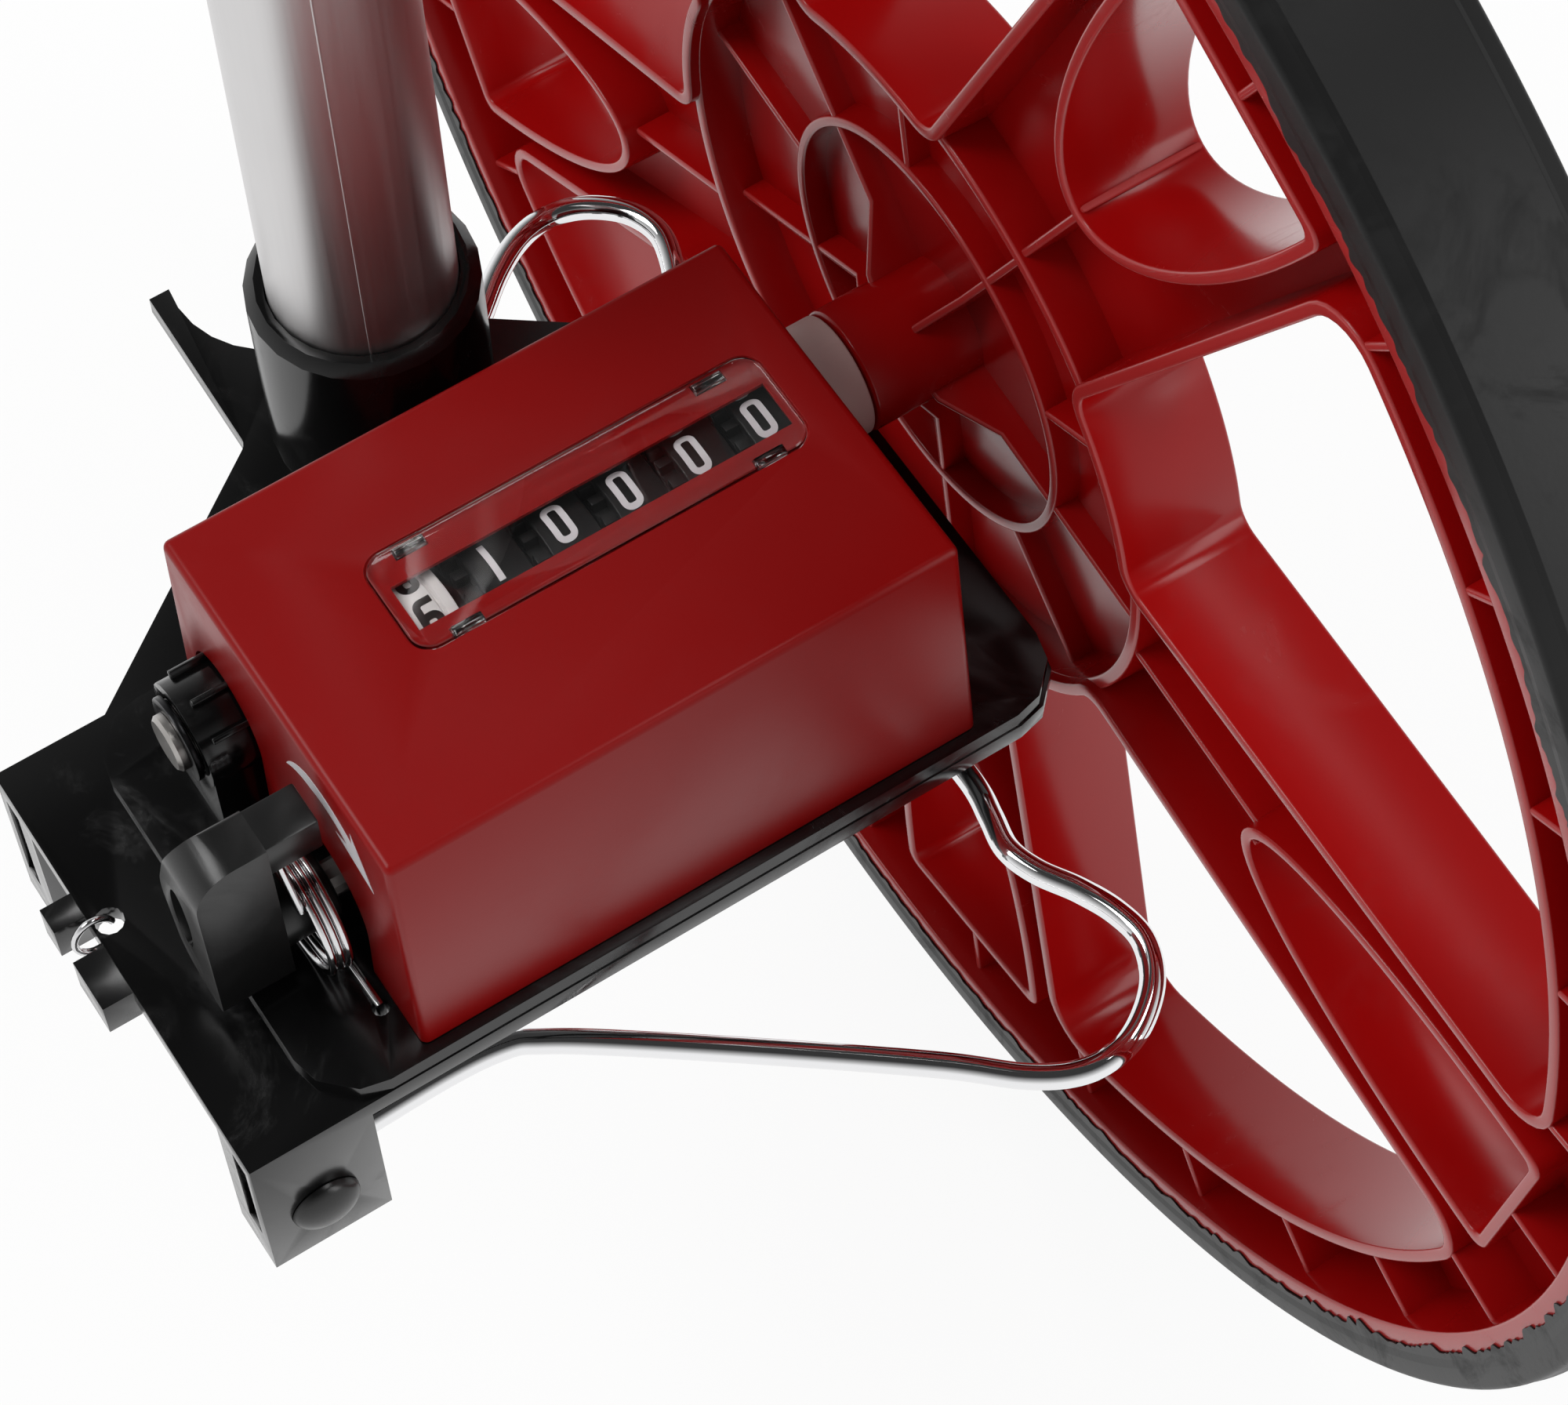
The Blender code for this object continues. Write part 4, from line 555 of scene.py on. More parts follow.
def wire(name, points, radius, resolution=5):
    """A round wire with closed ends, swept along a list of points."""
    curve = bpy.data.curves.new(name, "CURVE")
    curve.dimensions = "3D"
    curve.bevel_depth = radius
    curve.bevel_resolution = resolution
    curve.use_fill_caps = True
    spline = curve.splines.new("POLY")
    spline.points.add(len(points) - 1)
    for point, place in zip(spline.points, points):
        point.co = (*place, 1)
    return from_curve(name, curve, 0, Matrix())


# %% Softened edges
def softer(obj, name, width, steps=2, angle=35):
    """The same piece with its sharp edges bevelled."""
    soften = obj.modifiers.new("soften", "BEVEL")
    soften.width = width
    soften.segments = steps
    soften.limit_method = "ANGLE"
    soften.angle_limit = math.radians(angle)
    return baked(obj, name)


def softened_copy(node, name, width, steps=2, angle=35):
    """A construction node with its loose triangles merged and its edges rounded."""
    bm = bmesh.new()
    bm.from_mesh(frame["nodes"][node].data)
    weld(bm, node_weld_distance, node_flat_angle)
    return softer(piece_from(bm, name + "_sharp"), name, width, steps, angle)


# %% Blocks and Boolean cuts
def block(name, low, high, edge=0.0):
    """A box between two corners, for cutting or joining, with softened edges if asked."""
    bm = bmesh.new()
    bmesh.ops.create_cube(bm, size=1)
    low, high = Vector(low), Vector(high)
    bmesh.ops.scale(bm, verts=bm.verts, vec=high - low)
    bmesh.ops.translate(bm, verts=bm.verts, vec=(low + high) / 2)
    if edge:
        bmesh.ops.bevel(bm, geom=bm.edges, offset=edge, segments=2, profile=0.5, affect="EDGES")
    return piece_from(bm, name)


def cut_by(obj, cutters, operation="DIFFERENCE"):
    """One exact Boolean with several cutters, which are then removed."""
    group = bpy.data.collections.new("cutters")
    scene.collection.children.link(group)
    for cutter in cutters:
        scene.collection.objects.unlink(cutter)
        group.objects.link(cutter)
    change = obj.modifiers.new("cut", "BOOLEAN")
    change.operation = operation
    change.solver = "EXACT"
    change.operand_type = "COLLECTION"
    change.collection = group
    made = baked(obj, obj.name + "_cut")
    for cutter in list(group.objects):
        bpy.data.objects.remove(cutter, do_unlink=True)
    bpy.data.collections.remove(group)
    return made


# %% Dress a finished piece
def dress(piece, name, body, slot, finish, *stands_for, sharp=32):
    """Give a piece its name, finish and body, and the construction nodes it stands for; the slot argument is
    not used.
    """
    piece.name = name
    piece.data.name = name
    piece.data.materials.clear()
    piece.data.materials.append(finish)
    piece.data.shade_smooth()
    piece.data.set_sharp_from_angle(angle=math.radians(sharp))
    if stands_for:
        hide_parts(*stands_for)
    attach(piece, body)
    print("%-26s %6d faces, on %s" % (name, len(piece.data.polygons), body))
    return piece


# %% [markdown]
# ## Repeating with Geometry Nodes
# Ribs round a hub, lugs round a drum and screws at the corners of a box all repeat one small
# shape. One tree turns copies about an axle, the other puts a copy on every point of a guide.
# Both end in real geometry with its material set.


# %% The two repeating trees
def new_tree(name, inputs):
    """A Geometry Nodes tree that is given a guide, the piece to repeat, its finish and more."""
    inputs = [("Geometry", "Geometry"), ("Piece", "Object"), *inputs, ("Finish", "Material")]
    tree, given, result = node_group(name, "GeometryNodeTree", inputs, [("Geometry", "Geometry")])
    tree.is_modifier = True
    shape = wired(tree, "GeometryNodeObjectInfo", {"Object": given["Piece"]})
    return tree, given, result, shape.outputs["Geometry"]


def finish_tree(tree, given, result, copies):
    """Turn the copies into real geometry and give them their finish."""
    real = wired(tree, "GeometryNodeRealizeInstances", {0: copies.outputs[0]}).outputs[0]
    painted = wired(tree, "GeometryNodeSetMaterial", {"Geometry": real, "Material": given["Finish"]})
    tree.links.new(painted.outputs[0], result["Geometry"])
    return tree


def make_round_tree():
    """Copies of a piece turned about an axis along Y through a centre."""
    tree, given, result, shape = new_tree(
        "repeat_round_axle", [("Count", "Int"), ("Start", "Float"), ("Centre", "Vector")])
    spots = wired(tree, "GeometryNodePoints", {"Count": given["Count"], "Position": given["Centre"]})
    number = wired(tree, "GeometryNodeInputIndex").outputs[0]
    step = math_node(tree, "DIVIDE", math.tau, given["Count"])
    angle = math_node(tree, "MULTIPLY_ADD", number, step, given["Start"])
    spin = wired(tree, "ShaderNodeCombineXYZ", {"Y": angle})
    copies = wired(tree, "GeometryNodeInstanceOnPoints", {
        "Points": spots.outputs[0], "Instance": shape, "Rotation": spin.outputs[0]})
    return finish_tree(tree, given, result, copies)


def make_point_tree():
    """A copy of a piece on every point of the guide mesh."""
    tree, given, result, shape = new_tree("repeat_on_points", [])
    copies = wired(tree, "GeometryNodeInstanceOnPoints", {"Points": given["Geometry"], "Instance": shape})
    return finish_tree(tree, given, result, copies)


round_tree = make_round_tree()
point_tree = make_point_tree()
print("trees", round_tree.name, "and", point_tree.name)


# %% Run a tree
def grown(name, tree, shape, points=(), **values):
    """Run a repeating tree once; the small shape it repeats is removed afterwards."""
    guide = bpy.data.meshes.new(name + "_guide")
    guide.from_pydata([tuple(point) for point in points], [], [])
    maker = placed(name + "_guide", guide)
    change = maker.modifiers.new("grow", "NODES")
    change.node_group = tree
    values = {"Piece": shape, **values}
    for socket in tree.interface.items_tree:
        if socket.in_out == "INPUT" and socket.name in values:
            change[socket.identifier] = values[socket.name]
    made = baked(maker, name)
    bpy.data.objects.remove(shape, do_unlink=True)
    return made


def grown_round(name, shape, count, start, axle, finish):
    """Copies of a shape about an axle along Y, the first one turned by the start angle."""
    return grown(name, round_tree, shape, Count=count, Start=start, Centre=tuple(axle), Finish=finish)


# %% [markdown]
# ## The wheel
# The real wheel is one moulding: thin walls stand on both sides of a web, round five windows,
# five tapered openings in the spokes and two rings at the hub. The walls are thicker at their
# root and rounded along their crests, where a paler red is painted on as a highlight. A wall is
# swept between two matching outlines, and a crest attribute holds each point's share of painted highlight.

# %% Sizes of the wheel
axle_height = (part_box("tyre")[0].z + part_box("tyre")[1].z) / 2
axle_clearance = 4.3 * mm
spoke_count = 5
spoke_step = 360 / spoke_count
spoke_phase = -8.8
spokes = [spoke_phase + spoke_step * i for i in range(spoke_count)]
spoke_half_hub = 18.8 * mm
spoke_half_rim = 24.2 * mm
spoke_wall = 1.9 * mm
wall_half = 9.0 * mm
wall_draft = 0.3 * mm
wall_round = 0.45 * mm
web_thickness = 2.2 * mm
rim_radius, rim_wall, rim_half = 153.0 * mm, 3.2 * mm, 11.0 * mm
hub_ring_radius, hub_ring_wall, hub_ring_half = 53.5 * mm, 2 * mm, 7.5 * mm
inner_ring_radius, inner_ring_wall, inner_ring_half = 31 * mm, 1.6 * mm, 4.8 * mm
rim_points, hub_ring_points, inner_ring_points = 240, 160, 120
boss_radius = 8.9 * mm
boss_near_y, boss_far_y = -17.6 * mm, 13 * mm
boss_edge = 0.5 * mm
print("axle", round(axle_height / mm, 2), "mm above the ground")


def turned_loop(points, degrees):
    c, s = math.cos(math.radians(degrees)), math.sin(math.radians(degrees))
    return [(u * c - v * s, u * s + v * c) for u, v in points]


# %% Outline of a window between two spokes
window_outer = 138.45 * mm
window_rim_fillet, window_hub_fillet = 6 * mm, 4 * mm
window_rim_steps, window_hub_steps, window_corner_steps = 16, 6, 7


def window_half(grow):
    """Half of a window's outline about its middle line: rim arc, corner, side, corner, hub arc."""
    half_step = math.radians(spoke_step / 2)
    hub, rim = hub_ring_radius - grow, window_outer + grow
    hub_angle = half_step - math.asin(spoke_half_hub / hub_ring_radius)
    rim_angle = half_step - math.asin(spoke_half_rim / window_outer)
    start = Vector((math.cos(hub_angle), math.sin(hub_angle))) * hub_ring_radius
    end = Vector((math.cos(rim_angle), math.sin(rim_angle))) * window_outer
    run = (end - start).normalized()
    inward = Vector((run.y, -run.x))
    start = start - inward * grow
    points = []
    for bound, fillet, way, steps in ((rim, window_rim_fillet + grow, -1, window_rim_steps),
                                      (hub, window_hub_fillet + grow, 1, window_hub_steps)):
        middle_line = start + inward * fillet
        reach = bound + way * fillet
        along = middle_line.dot(run)
        gap = math.sqrt(along * along - middle_line.length_squared + reach * reach)
        centre = middle_line + run * (gap - along)
        on_side = centre - inward * fillet
        on_circle = centre * (bound / centre.length)
        limit = math.degrees(math.atan2(on_circle.y, on_circle.x))
        corner = [centre + (on_circle - centre).slerp(on_side - centre, i / window_corner_steps) * fillet
                  for i in range(1, window_corner_steps + 1)]
        stretch = arc((0, 0), bound, 0, limit, steps) + [tuple(p) for p in corner]
        points += stretch if way < 0 else stretch[::-1]
    return points


def window_loop(degrees, grow):
    """A whole window, grown all round and turned about the axle."""
    half = window_half(grow)
    mirrored = [(u, -v) for u, v in half[::-1]]
    return turned_loop(half + mirrored[1:-1], degrees)


# %% Outline of the tapered opening in a spoke
lobe_length = 55.5 * mm
lobe_half_width = 16 * mm
lobe_setback = 0.5 * mm
lobe_corner = 1.8 * mm
# How far the straight side lies past the ellipse's middle: wall outside, wall inside, web
lobe_wall_reach, lobe_open_reach, lobe_web_reach = 1.9 * mm, 0.1 * mm, 1 * mm


def lobe_loop(degrees, grow, reach):
    """Opening through a spoke: half an ellipse closed by a straight side near the rim."""
    middle = window_outer - lobe_setback
    points = [(middle + (lobe_length + grow) * u, (lobe_half_width + grow) * v)
              for u, v in arc((0, 0), 1, 94, 266, 42)]
    corner = lobe_corner + grow / 3
    end, side = middle + reach - corner, lobe_half_width + grow - corner
    points += arc((end, -side), corner, -90, 0, 5) + arc((end, side), corner, 0, 90, 5)
    return turned_loop(points, degrees)


# %% Section of a wall
# Up one side of a crest: across and down in shares of its rounding, and the share of painted highlight there
crest_shares = ((0, 1, 0.0), (0.13, 0.5, 0.6), (0.5, 0.13, 1.0), (1, 0, 0.45))


def wall_section(width, half, draft, round_over):
    """Across the wall, height, painted highlight share: thick at the middle plane, round at both crests."""
    side = [(-draft, 0, 0.0)] + [(across * round_over, half - down * round_over, painted_highlight)
                                 for across, down, painted_highlight in crest_shares]
    crest = side + [(width - x, y, painted_highlight) for x, y, painted_highlight in side[::-1]]
    return crest + [(x, -y, painted_highlight) for x, y, painted_highlight in crest[-2:0:-1]]


def bridge(bm, rows, closed):
    """Faces between successive rows of points; each row is a closed section."""
    count = len(rows)
    for i in range(count if closed else count - 1):
        first, second = rows[i], rows[(i + 1) % count]
        for j in range(len(first)):
            k = (j + 1) % len(first)
            bm.faces.new((first[j], first[k], second[k], second[j]))
    if not closed:
        bm.faces.new(rows[0][::-1])
        bm.faces.new(rows[-1])


# %% A wall between two outlines
def wall_band(bm, outer, inner, width, half):
    """A closed wall swept along two matching loops."""
    # The crest layer holds each point's share of painted highlight
    highlight_layer = bm.verts.layers.float.get("crest") or bm.verts.layers.float.new("crest")
    section = wall_section(width, half, wall_draft, wall_round)
    rows = []
    for (u0, v0), (u1, v1) in zip(outer, inner):
        row = []
        for across, y, painted_highlight in section:
            share = across / width
            vert = bm.verts.new((u0 + (u1 - u0) * share, y, axle_height + v0 + (v1 - v0) * share))
            vert[highlight_layer] = painted_highlight
            row.append(vert)
        rows.append(row)
    bridge(bm, rows, True)


def ring_wall(bm, outer, width, half, count):
    wall_band(bm, circle(outer, count), circle(outer - width, count), width, half)


# %% Walls, rings and web
bm = bmesh.new()
for degrees in spokes:
    window = degrees + spoke_step / 2
    wall_band(bm, window_loop(window, spoke_wall), window_loop(window, 0), spoke_wall, wall_half)
    wall_band(bm, lobe_loop(degrees, spoke_wall, lobe_wall_reach), lobe_loop(degrees, 0, lobe_open_reach),
              spoke_wall, wall_half)
ring_wall(bm, rim_radius, rim_wall, rim_half, rim_points)
ring_wall(bm, hub_ring_radius, hub_ring_wall, hub_ring_half, hub_ring_points)
ring_wall(bm, inner_ring_radius, inner_ring_wall, inner_ring_half, inner_ring_points)
walls = piece_from(bm, "wheel_walls", outward=True)
web_loops = [circle(rim_radius - rim_wall / 2, rim_points)]
web_loops += [window_loop(degrees + spoke_step / 2, spoke_wall / 2) for degrees in spokes]
web_loops += [lobe_loop(degrees, spoke_wall / 2, lobe_web_reach) for degrees in spokes]
web = flat_shape("wheel_web", web_loops, web_thickness, facing_y(0, 0, axle_height))
print("walls", len(walls.data.polygons), "web", len(web.data.polygons))

# %% One rib
rib_thickness = 1.15 * mm
rib_draft = 0.15 * mm
rib_round = 0.4 * mm


def rib(name, stations, thickness):
    """A rib along +X at the origin, from (distance, half height) stations."""
    bm = bmesh.new()
    # The crest layer holds each point's share of painted highlight
    highlight_layer = bm.verts.layers.float.new("crest")
    rows = []
    for distance, half in stations:
        row = []
        for across, y, painted_highlight in wall_section(thickness, half, rib_draft, rib_round):
            vert = bm.verts.new((distance, y, across - thickness / 2))
            vert[highlight_layer] = painted_highlight
            row.append(vert)
        rows.append(row)
    bridge(bm, rows, False)
    return piece_from(bm, name, outward=True)


# %% Ribs and boss, grown round the axle
rim_rib_count = 30
rim_rib_half = 8.75 * mm
rim_rib_start, rim_rib_end = 139.5 * mm, 150.5 * mm
hub_rib_half, hub_rib_end = 4.5 * mm, 52.5 * mm
# Distance and half height where a hub rib rises to the boss
hub_rib_rise = [(8.2 * mm, 9.2 * mm), (10 * mm, 9 * mm), (18.5 * mm, 4.6 * mm)]
between_rib_start = inner_ring_radius - 1 * mm
spoke_rib_half = 6.75 * mm
lobe_tip = window_outer - lobe_length - spoke_wall
ridge_thickness, ridge_half = 0.85 * mm, 8.4 * mm
ridge_start = lobe_tip + spoke_wall - lobe_setback - 0.3 * mm
ridge_length = 0.9 * mm
first_rib = -math.radians(spoke_phase)
# Name, stations from the axle outwards, thickness, how many and the first one's angle
rib_sets = (
    ("rim_rib", [(rim_rib_start, rim_rib_half), (rim_rib_end, rim_rib_half)],
     rib_thickness, rim_rib_count, first_rib),
    ("hub_rib", hub_rib_rise + [(hub_rib_end, hub_rib_half)], rib_thickness, spoke_count, first_rib),
    ("between_rib", [(between_rib_start, hub_rib_half), (hub_rib_end, hub_rib_half)],
     rib_thickness, spoke_count, first_rib + math.pi / spoke_count),
    ("spoke_rib", [(hub_rib_end, spoke_rib_half), (lobe_tip, spoke_rib_half)],
     rib_thickness, spoke_count, first_rib),
    ("lobe_ridge", [(ridge_start, ridge_half), (ridge_start + ridge_length, ridge_half)],
     ridge_thickness, spoke_count, first_rib),
)
ribs = [grown_round(name + "s", rib(name, stations, thickness), count, start, (0, 0, axle_height), wheel_red)
        for name, stations, thickness, count, start in rib_sets]
boss = sleeve("hub_boss", boss_radius, axle_clearance, boss_near_y, boss_far_y, along_y(0, axle_height),
              boss_edge)
wheel = joined("wheel_moulding", [walls, web, *ribs, boss])
dress(wheel, "wheel_moulding", "wheel_body", "red_plastic", wheel_red, "wheel", sharp=40)

# %% [markdown]
# ## The tyre
# A plain rubber band is moulded on the rim. Its shoulders are rounded, a shallow step runs beside
# the tread, and thin torn flash creeps over the red rim, which is left by the mould. The band is a
# turned profile, and the flash is a strip whose inner edge is worked out from seeded noise.

# %% Tyre band
tyre_radius = axle_height
tyre_half = 11.5 * mm
tyre_inner = 153.4 * mm
tread_half = 8.4 * mm
step_half, step_drop = 9.1 * mm, 0.35 * mm
shoulder_drop = 0.9 * mm
inner_slope_rise, inner_slope_width = 1.5 * mm, 0.25 * mm
tread_round, step_round, shoulder_round, slope_round = 0.5 * mm, 0.3 * mm, 0.9 * mm, 0.6 * mm
# Radius, half width and rounding from the tread's edge down to the rim
tyre_side = [(tyre_radius, tread_half, tread_round), (tyre_radius - step_drop, step_half, step_round),
             (tyre_radius - shoulder_drop, tyre_half, shoulder_round),
             (tyre_inner + inner_slope_rise, tyre_half, slope_round),
             (tyre_inner, tyre_half - inner_slope_width, 0)]
near_side = [(radius, -across, edge) for radius, across, edge in tyre_side]
profile = rounded(tyre_side[:1] + near_side + tyre_side[:0:-1], 4)
band = turned("tyre_band", profile, along_y(0, axle_height), 288)
print("tyre band", len(band.data.polygons), "faces")

# %% Torn flash on the rim
flash_points = 1500
flash_overlap = 0.8 * mm
flash_sink, flash_thickness = 0.42 * mm, 0.22 * mm
# Scales of the two noises, and the creep in millimetres that comes from each
fine_scale, broad_scale = 52, 9
least_creep, fine_creep, broad_creep, broad_start = 0.1, 2.0, 2.6, 0.2


def flash_strip(name, side, seed):
    """A thin ragged skin of rubber over the edge of the rim."""
    outer = tyre_inner + flash_overlap
    bm = bmesh.new()
    rows = []
    face = side * (tyre_half - flash_sink)
    lift = face + side * flash_thickness
    for i in range(flash_points):
        angle = math.tau * i / flash_points
        c, s = math.cos(angle), math.sin(angle)
        fine = noise.noise(Vector((c * fine_scale, s * fine_scale, seed)))
        broad = noise.noise(Vector((c * broad_scale, s * broad_scale, seed + 5)))
        creep = least_creep + fine_creep * abs(fine) + broad_creep * max(0, broad - broad_start)
        inner = rim_radius - creep * mm
        rows.append([bm.verts.new((r * c, y, axle_height + r * s))
                     for r, y in ((outer, face), (inner, face), (inner, lift), (outer, lift))])
    bridge(bm, rows, True)
    return piece_from(bm, name, outward=True)


tyre = joined("tyre_rubber", [band, flash_strip("flash_left", -1, 3.0), flash_strip("flash_right", 1, 11.0)])
dress(tyre, "tyre_rubber", "wheel_body", "tyre_rubber", tyre_black, "tyre", sharp=40)

# %% [markdown]
# ## Axle, spacer and fasteners
# A steel axle passes through the wheel and the counter. A snap ring holds it at the left
# bearing, a nut and washer hold the wheel, and a pale ring keeps the wheel off the bracket.

# %% Axle with its groove
at_axle = along_y(0, axle_height)
axle_radius = 4 * mm
axle_chamfer = 0.5 * mm
axle_low_y, axle_high_y = -119.7 * mm, 22 * mm
groove_y, groove_half, groove_radius = -117.75 * mm, 0.5 * mm, 3.4 * mm
axle_profile = [
    (0, axle_high_y), (axle_radius - axle_chamfer, axle_high_y), (axle_radius, axle_high_y - axle_chamfer),
    (axle_radius, groove_y + groove_half), (groove_radius, groove_y + groove_half),
    (groove_radius, groove_y - groove_half), (axle_radius, groove_y - groove_half),
    (axle_radius, axle_low_y + axle_chamfer), (axle_radius - axle_chamfer, axle_low_y), (0, axle_low_y)]
dress(turned("axle_rod", axle_profile, at_axle), "axle_rod", "wheel_body", "steel", steel, "axle")

# %% Spacer, washer, nut and snap ring
spacer_radius, spacer_length, spacer_gap = 8.7 * mm, 5.4 * mm, 0.3 * mm
spacer_high_y = boss_near_y - spacer_gap
washer_radius, washer_low_y, washer_high_y = 8 * mm, 13.3 * mm, 14.5 * mm
washer_edge, nut_edge = 0.2 * mm, 0.5 * mm
ring_outer, ring_inner, ring_thickness, ring_edge = 6 * mm, 3.7 * mm, 0.9 * mm, 0.15 * mm
spacer = sleeve("spacer_ring", spacer_radius, axle_clearance, spacer_high_y - spacer_length, spacer_high_y,
                at_axle)
dress(spacer, "spacer_ring", "wheel_body", "pale_plastic", pale_plastic, "hub_spacer")
washer = sleeve("nut_washer", washer_radius, axle_clearance, washer_low_y, washer_high_y, at_axle,
                washer_edge)
dress(washer, "nut_washer", "wheel_body", "steel", steel, "axle_washer")
hex_nut = softened_copy("axle_nut", "hex_nut", nut_edge)
dress(hex_nut, "hex_nut", "wheel_body", "steel", steel, "axle_nut")
ring_loop = arc((0, 0), ring_outer, -60, 240, 40) + arc((0, 0), ring_inner, 232, -52, 36)
at_groove = facing_y(0, groove_y, axle_height)
snap_ring = flat_shape("snap_ring", [ring_loop], ring_thickness, at_groove, ring_edge)
dress(snap_ring, "snap_ring", "wheel_body", "steel", dark_steel, "axle_clip")

# %% [markdown]
# ## The counter's cover
# The cover is a box with soft edges, open below, whose front leans out so that it leaves the
# mould. A recess holds the lens, a slot shows the drums, four pockets take the lens's clips, and
# arches clear the axle and the reset shaft. It starts as a tapered block and is cut by one Boolean.

# %% Tapered block
cover_low, cover_high = Vector((-12.7, -109.9, -16.7)) * mm, Vector((42.8, -27.9, 23.6)) * mm
side_draft = 0.9 * mm
front_draft = 3.6 * mm
cover_wall = 2 * mm
cover_edge, cut_edge = 1.1 * mm, 0.18 * mm
cover_top = axle_height + cover_high.z
cover_bottom = axle_height + cover_low.z
below_cover = cover_bottom - 2 * mm


def tapered_block(name, inset, top, bottom, edge):
    """The cover's block, inset on its sides; its front and ends lean out towards the bottom."""
    bm = bmesh.new()
    bmesh.ops.create_cube(bm, size=2)
    for vert in bm.verts:
        spread = 1 if vert.co.z < 0 else 0
        drift = inset - side_draft * spread
        y = cover_low.y + drift if vert.co.y < 0 else cover_high.y - drift
        x = cover_low.x + inset if vert.co.x < 0 else cover_high.x - inset + front_draft * spread
        vert.co = (x, y, bottom if spread else top)
    if edge:
        chosen = [e for e in bm.edges if not all(v.co.z < bottom + edge for v in e.verts)]
        bmesh.ops.bevel(bm, geom=chosen, offset=edge, segments=5, profile=0.5, affect="EDGES")
    return piece_from(bm, name)


# %% Lens outline and clips
lens_x = 11.5 * mm
lens_low_y, lens_high_y = -91.2 * mm, -33.8 * mm
lens_half = 7.8 * mm
lens_corner = 3 * mm
clip_length = 4.6 * mm
clip_overlap, clip_depth = 0.25 * mm, 1.7 * mm
# Distances of a side's two clips from the lens's ends: back side first, then the front side
clip_inset = {-1: (4.6 * mm, 4.6 * mm), 1: (5 * mm, 3.9 * mm)}


def lens_loop(grow):
    """The lens's rounded outline, seen from above, made larger all round."""
    low_x, high_x = lens_x - lens_half - grow, lens_x + lens_half + grow
    low_y, high_y = lens_low_y - grow, lens_high_y + grow
    corner = lens_corner + grow
    return rounded([(low_x, low_y, corner), (high_x, low_y, corner), (high_x, high_y, corner),
                    (low_x, high_y, corner)], 8)


def clip_boxes(inset, low_z, high_z):
    """Places of the four clips beside the lens's long sides."""
    boxes = []
    for side in (-1, 1):
        near, far = clip_inset[side]
        for y in (lens_low_y + near, lens_high_y - far - clip_length):
            edge_x = lens_x + side * (lens_half - clip_overlap)
            inner_x = edge_x - side * clip_depth
            boxes.append(((min(edge_x, inner_x) + inset, y + inset, low_z),
                          (max(edge_x, inner_x) - inset, y + clip_length - inset, high_z)))
    return boxes


# %% The cuts
recess_depth, recess_gap, recess_cut = 1.3 * mm, 0.25 * mm, 4 * mm
slot_x, slot_half = 12 * mm, 3.5 * mm
slot_low_y, slot_high_y = -89.2 * mm, -35.0 * mm
slot_cut = 5 * mm
reset_x, reset_z = 24 * mm, axle_height - 7.5 * mm
axle_arch_radius, reset_arch_radius = 8.5 * mm, 10 * mm
arch_outside, arch_inside = 3 * mm, 4 * mm


def arch(name, x, z, radius, low_y, high_y):
    """A round-topped opening that runs out of the cover's lower edge."""
    drop = below_cover - z
    loop = arc((0, 0), radius, 0, 180, 32) + [(-radius, drop), (radius, drop)]
    return flat_shape(name, [loop], high_y - low_y, facing_y(x, (low_y + high_y) / 2, z))


cuts = [tapered_block("cover_hollow", cover_wall, cover_top - cover_wall, below_cover, 0),
        flat_shape("recess_cut", [lens_loop(recess_gap)], recess_cut,
                   upright(0, 0, cover_top - recess_depth + recess_cut / 2)),
        block("slot_cut", (slot_x - slot_half, slot_low_y, cover_top - slot_cut),
              (slot_x + slot_half, slot_high_y, cover_top))]
cuts += [block("pocket_cut", low, high) for low, high in clip_boxes(0, cover_top - slot_cut, cover_top)]
left_cut = (cover_low.y - arch_outside, cover_low.y + arch_inside)
right_cut = (cover_high.y - arch_inside, cover_high.y + arch_outside)
cuts.append(arch("axle_arch_left", 0, axle_height, axle_arch_radius, *left_cut))
cuts.append(arch("axle_arch_right", 0, axle_height, axle_arch_radius, *right_cut))
cuts.append(arch("reset_arch", reset_x, reset_z, reset_arch_radius, *left_cut))
cover = cut_by(tapered_block("cover", 0, cover_top, cover_bottom, cover_edge), cuts)
cover = softer(cover, "cover_soft", cut_edge, 2, 50)
dress(cover, "counter_cover", "base", "red_plastic", cover_red, "counter_housing", sharp=30)

# %% [markdown]
# ## The lens and the printed arrow
# The lens is clear plastic with a polished bevel, and four clips of the same plastic snap into
# the cover's pockets. The white arrow on the left face shows which way to push the reset lever.
# It is a thin printed skin that lies on the leaning face.

# %% Lens with its clips
lens_thickness, lens_bevel = 1.4 * mm, 0.45 * mm
lens_lift = 0.95 * mm
clip_gap, clip_edge = 0.15 * mm, 0.2 * mm
clip_low_z, clip_high_z = cover_top - 3 * mm, cover_top - 0.6 * mm
at_recess = upright(0, 0, cover_top - recess_depth + lens_lift)
lens = flat_shape("lens", [lens_loop(0)], lens_thickness, at_recess, lens_bevel, 3)
clips = [block("lens_clip", low, high, clip_edge)
         for low, high in clip_boxes(clip_gap, clip_low_z, clip_high_z)]
lens = joined("lens_all", [lens, *clips])
dress(lens, "counter_lens", "base", "clear_window", lens_clear, "counter_window", sharp=25)

# %% Printed arrow
arrow_centre = (26.9 * mm, 5.2 * mm)
arrow_radius = 12.1 * mm
arrow_start, arrow_neck, arrow_tip = 145.0, 60.0, 28.0
arrow_half, head_half = 1.35 * mm, 3.6 * mm
arrow_thickness = 0.1 * mm
arrow_steps = 16
# Share of the full width at the tail, and the share that is gained over the whole bend
tail_share, widening_share = 0.05, 2.2
# The head: how far its tip lies off the bend, and how far back its two barbs reach in degrees
tip_offset, outer_barb, inner_barb = 0.6 * mm, 5, 14


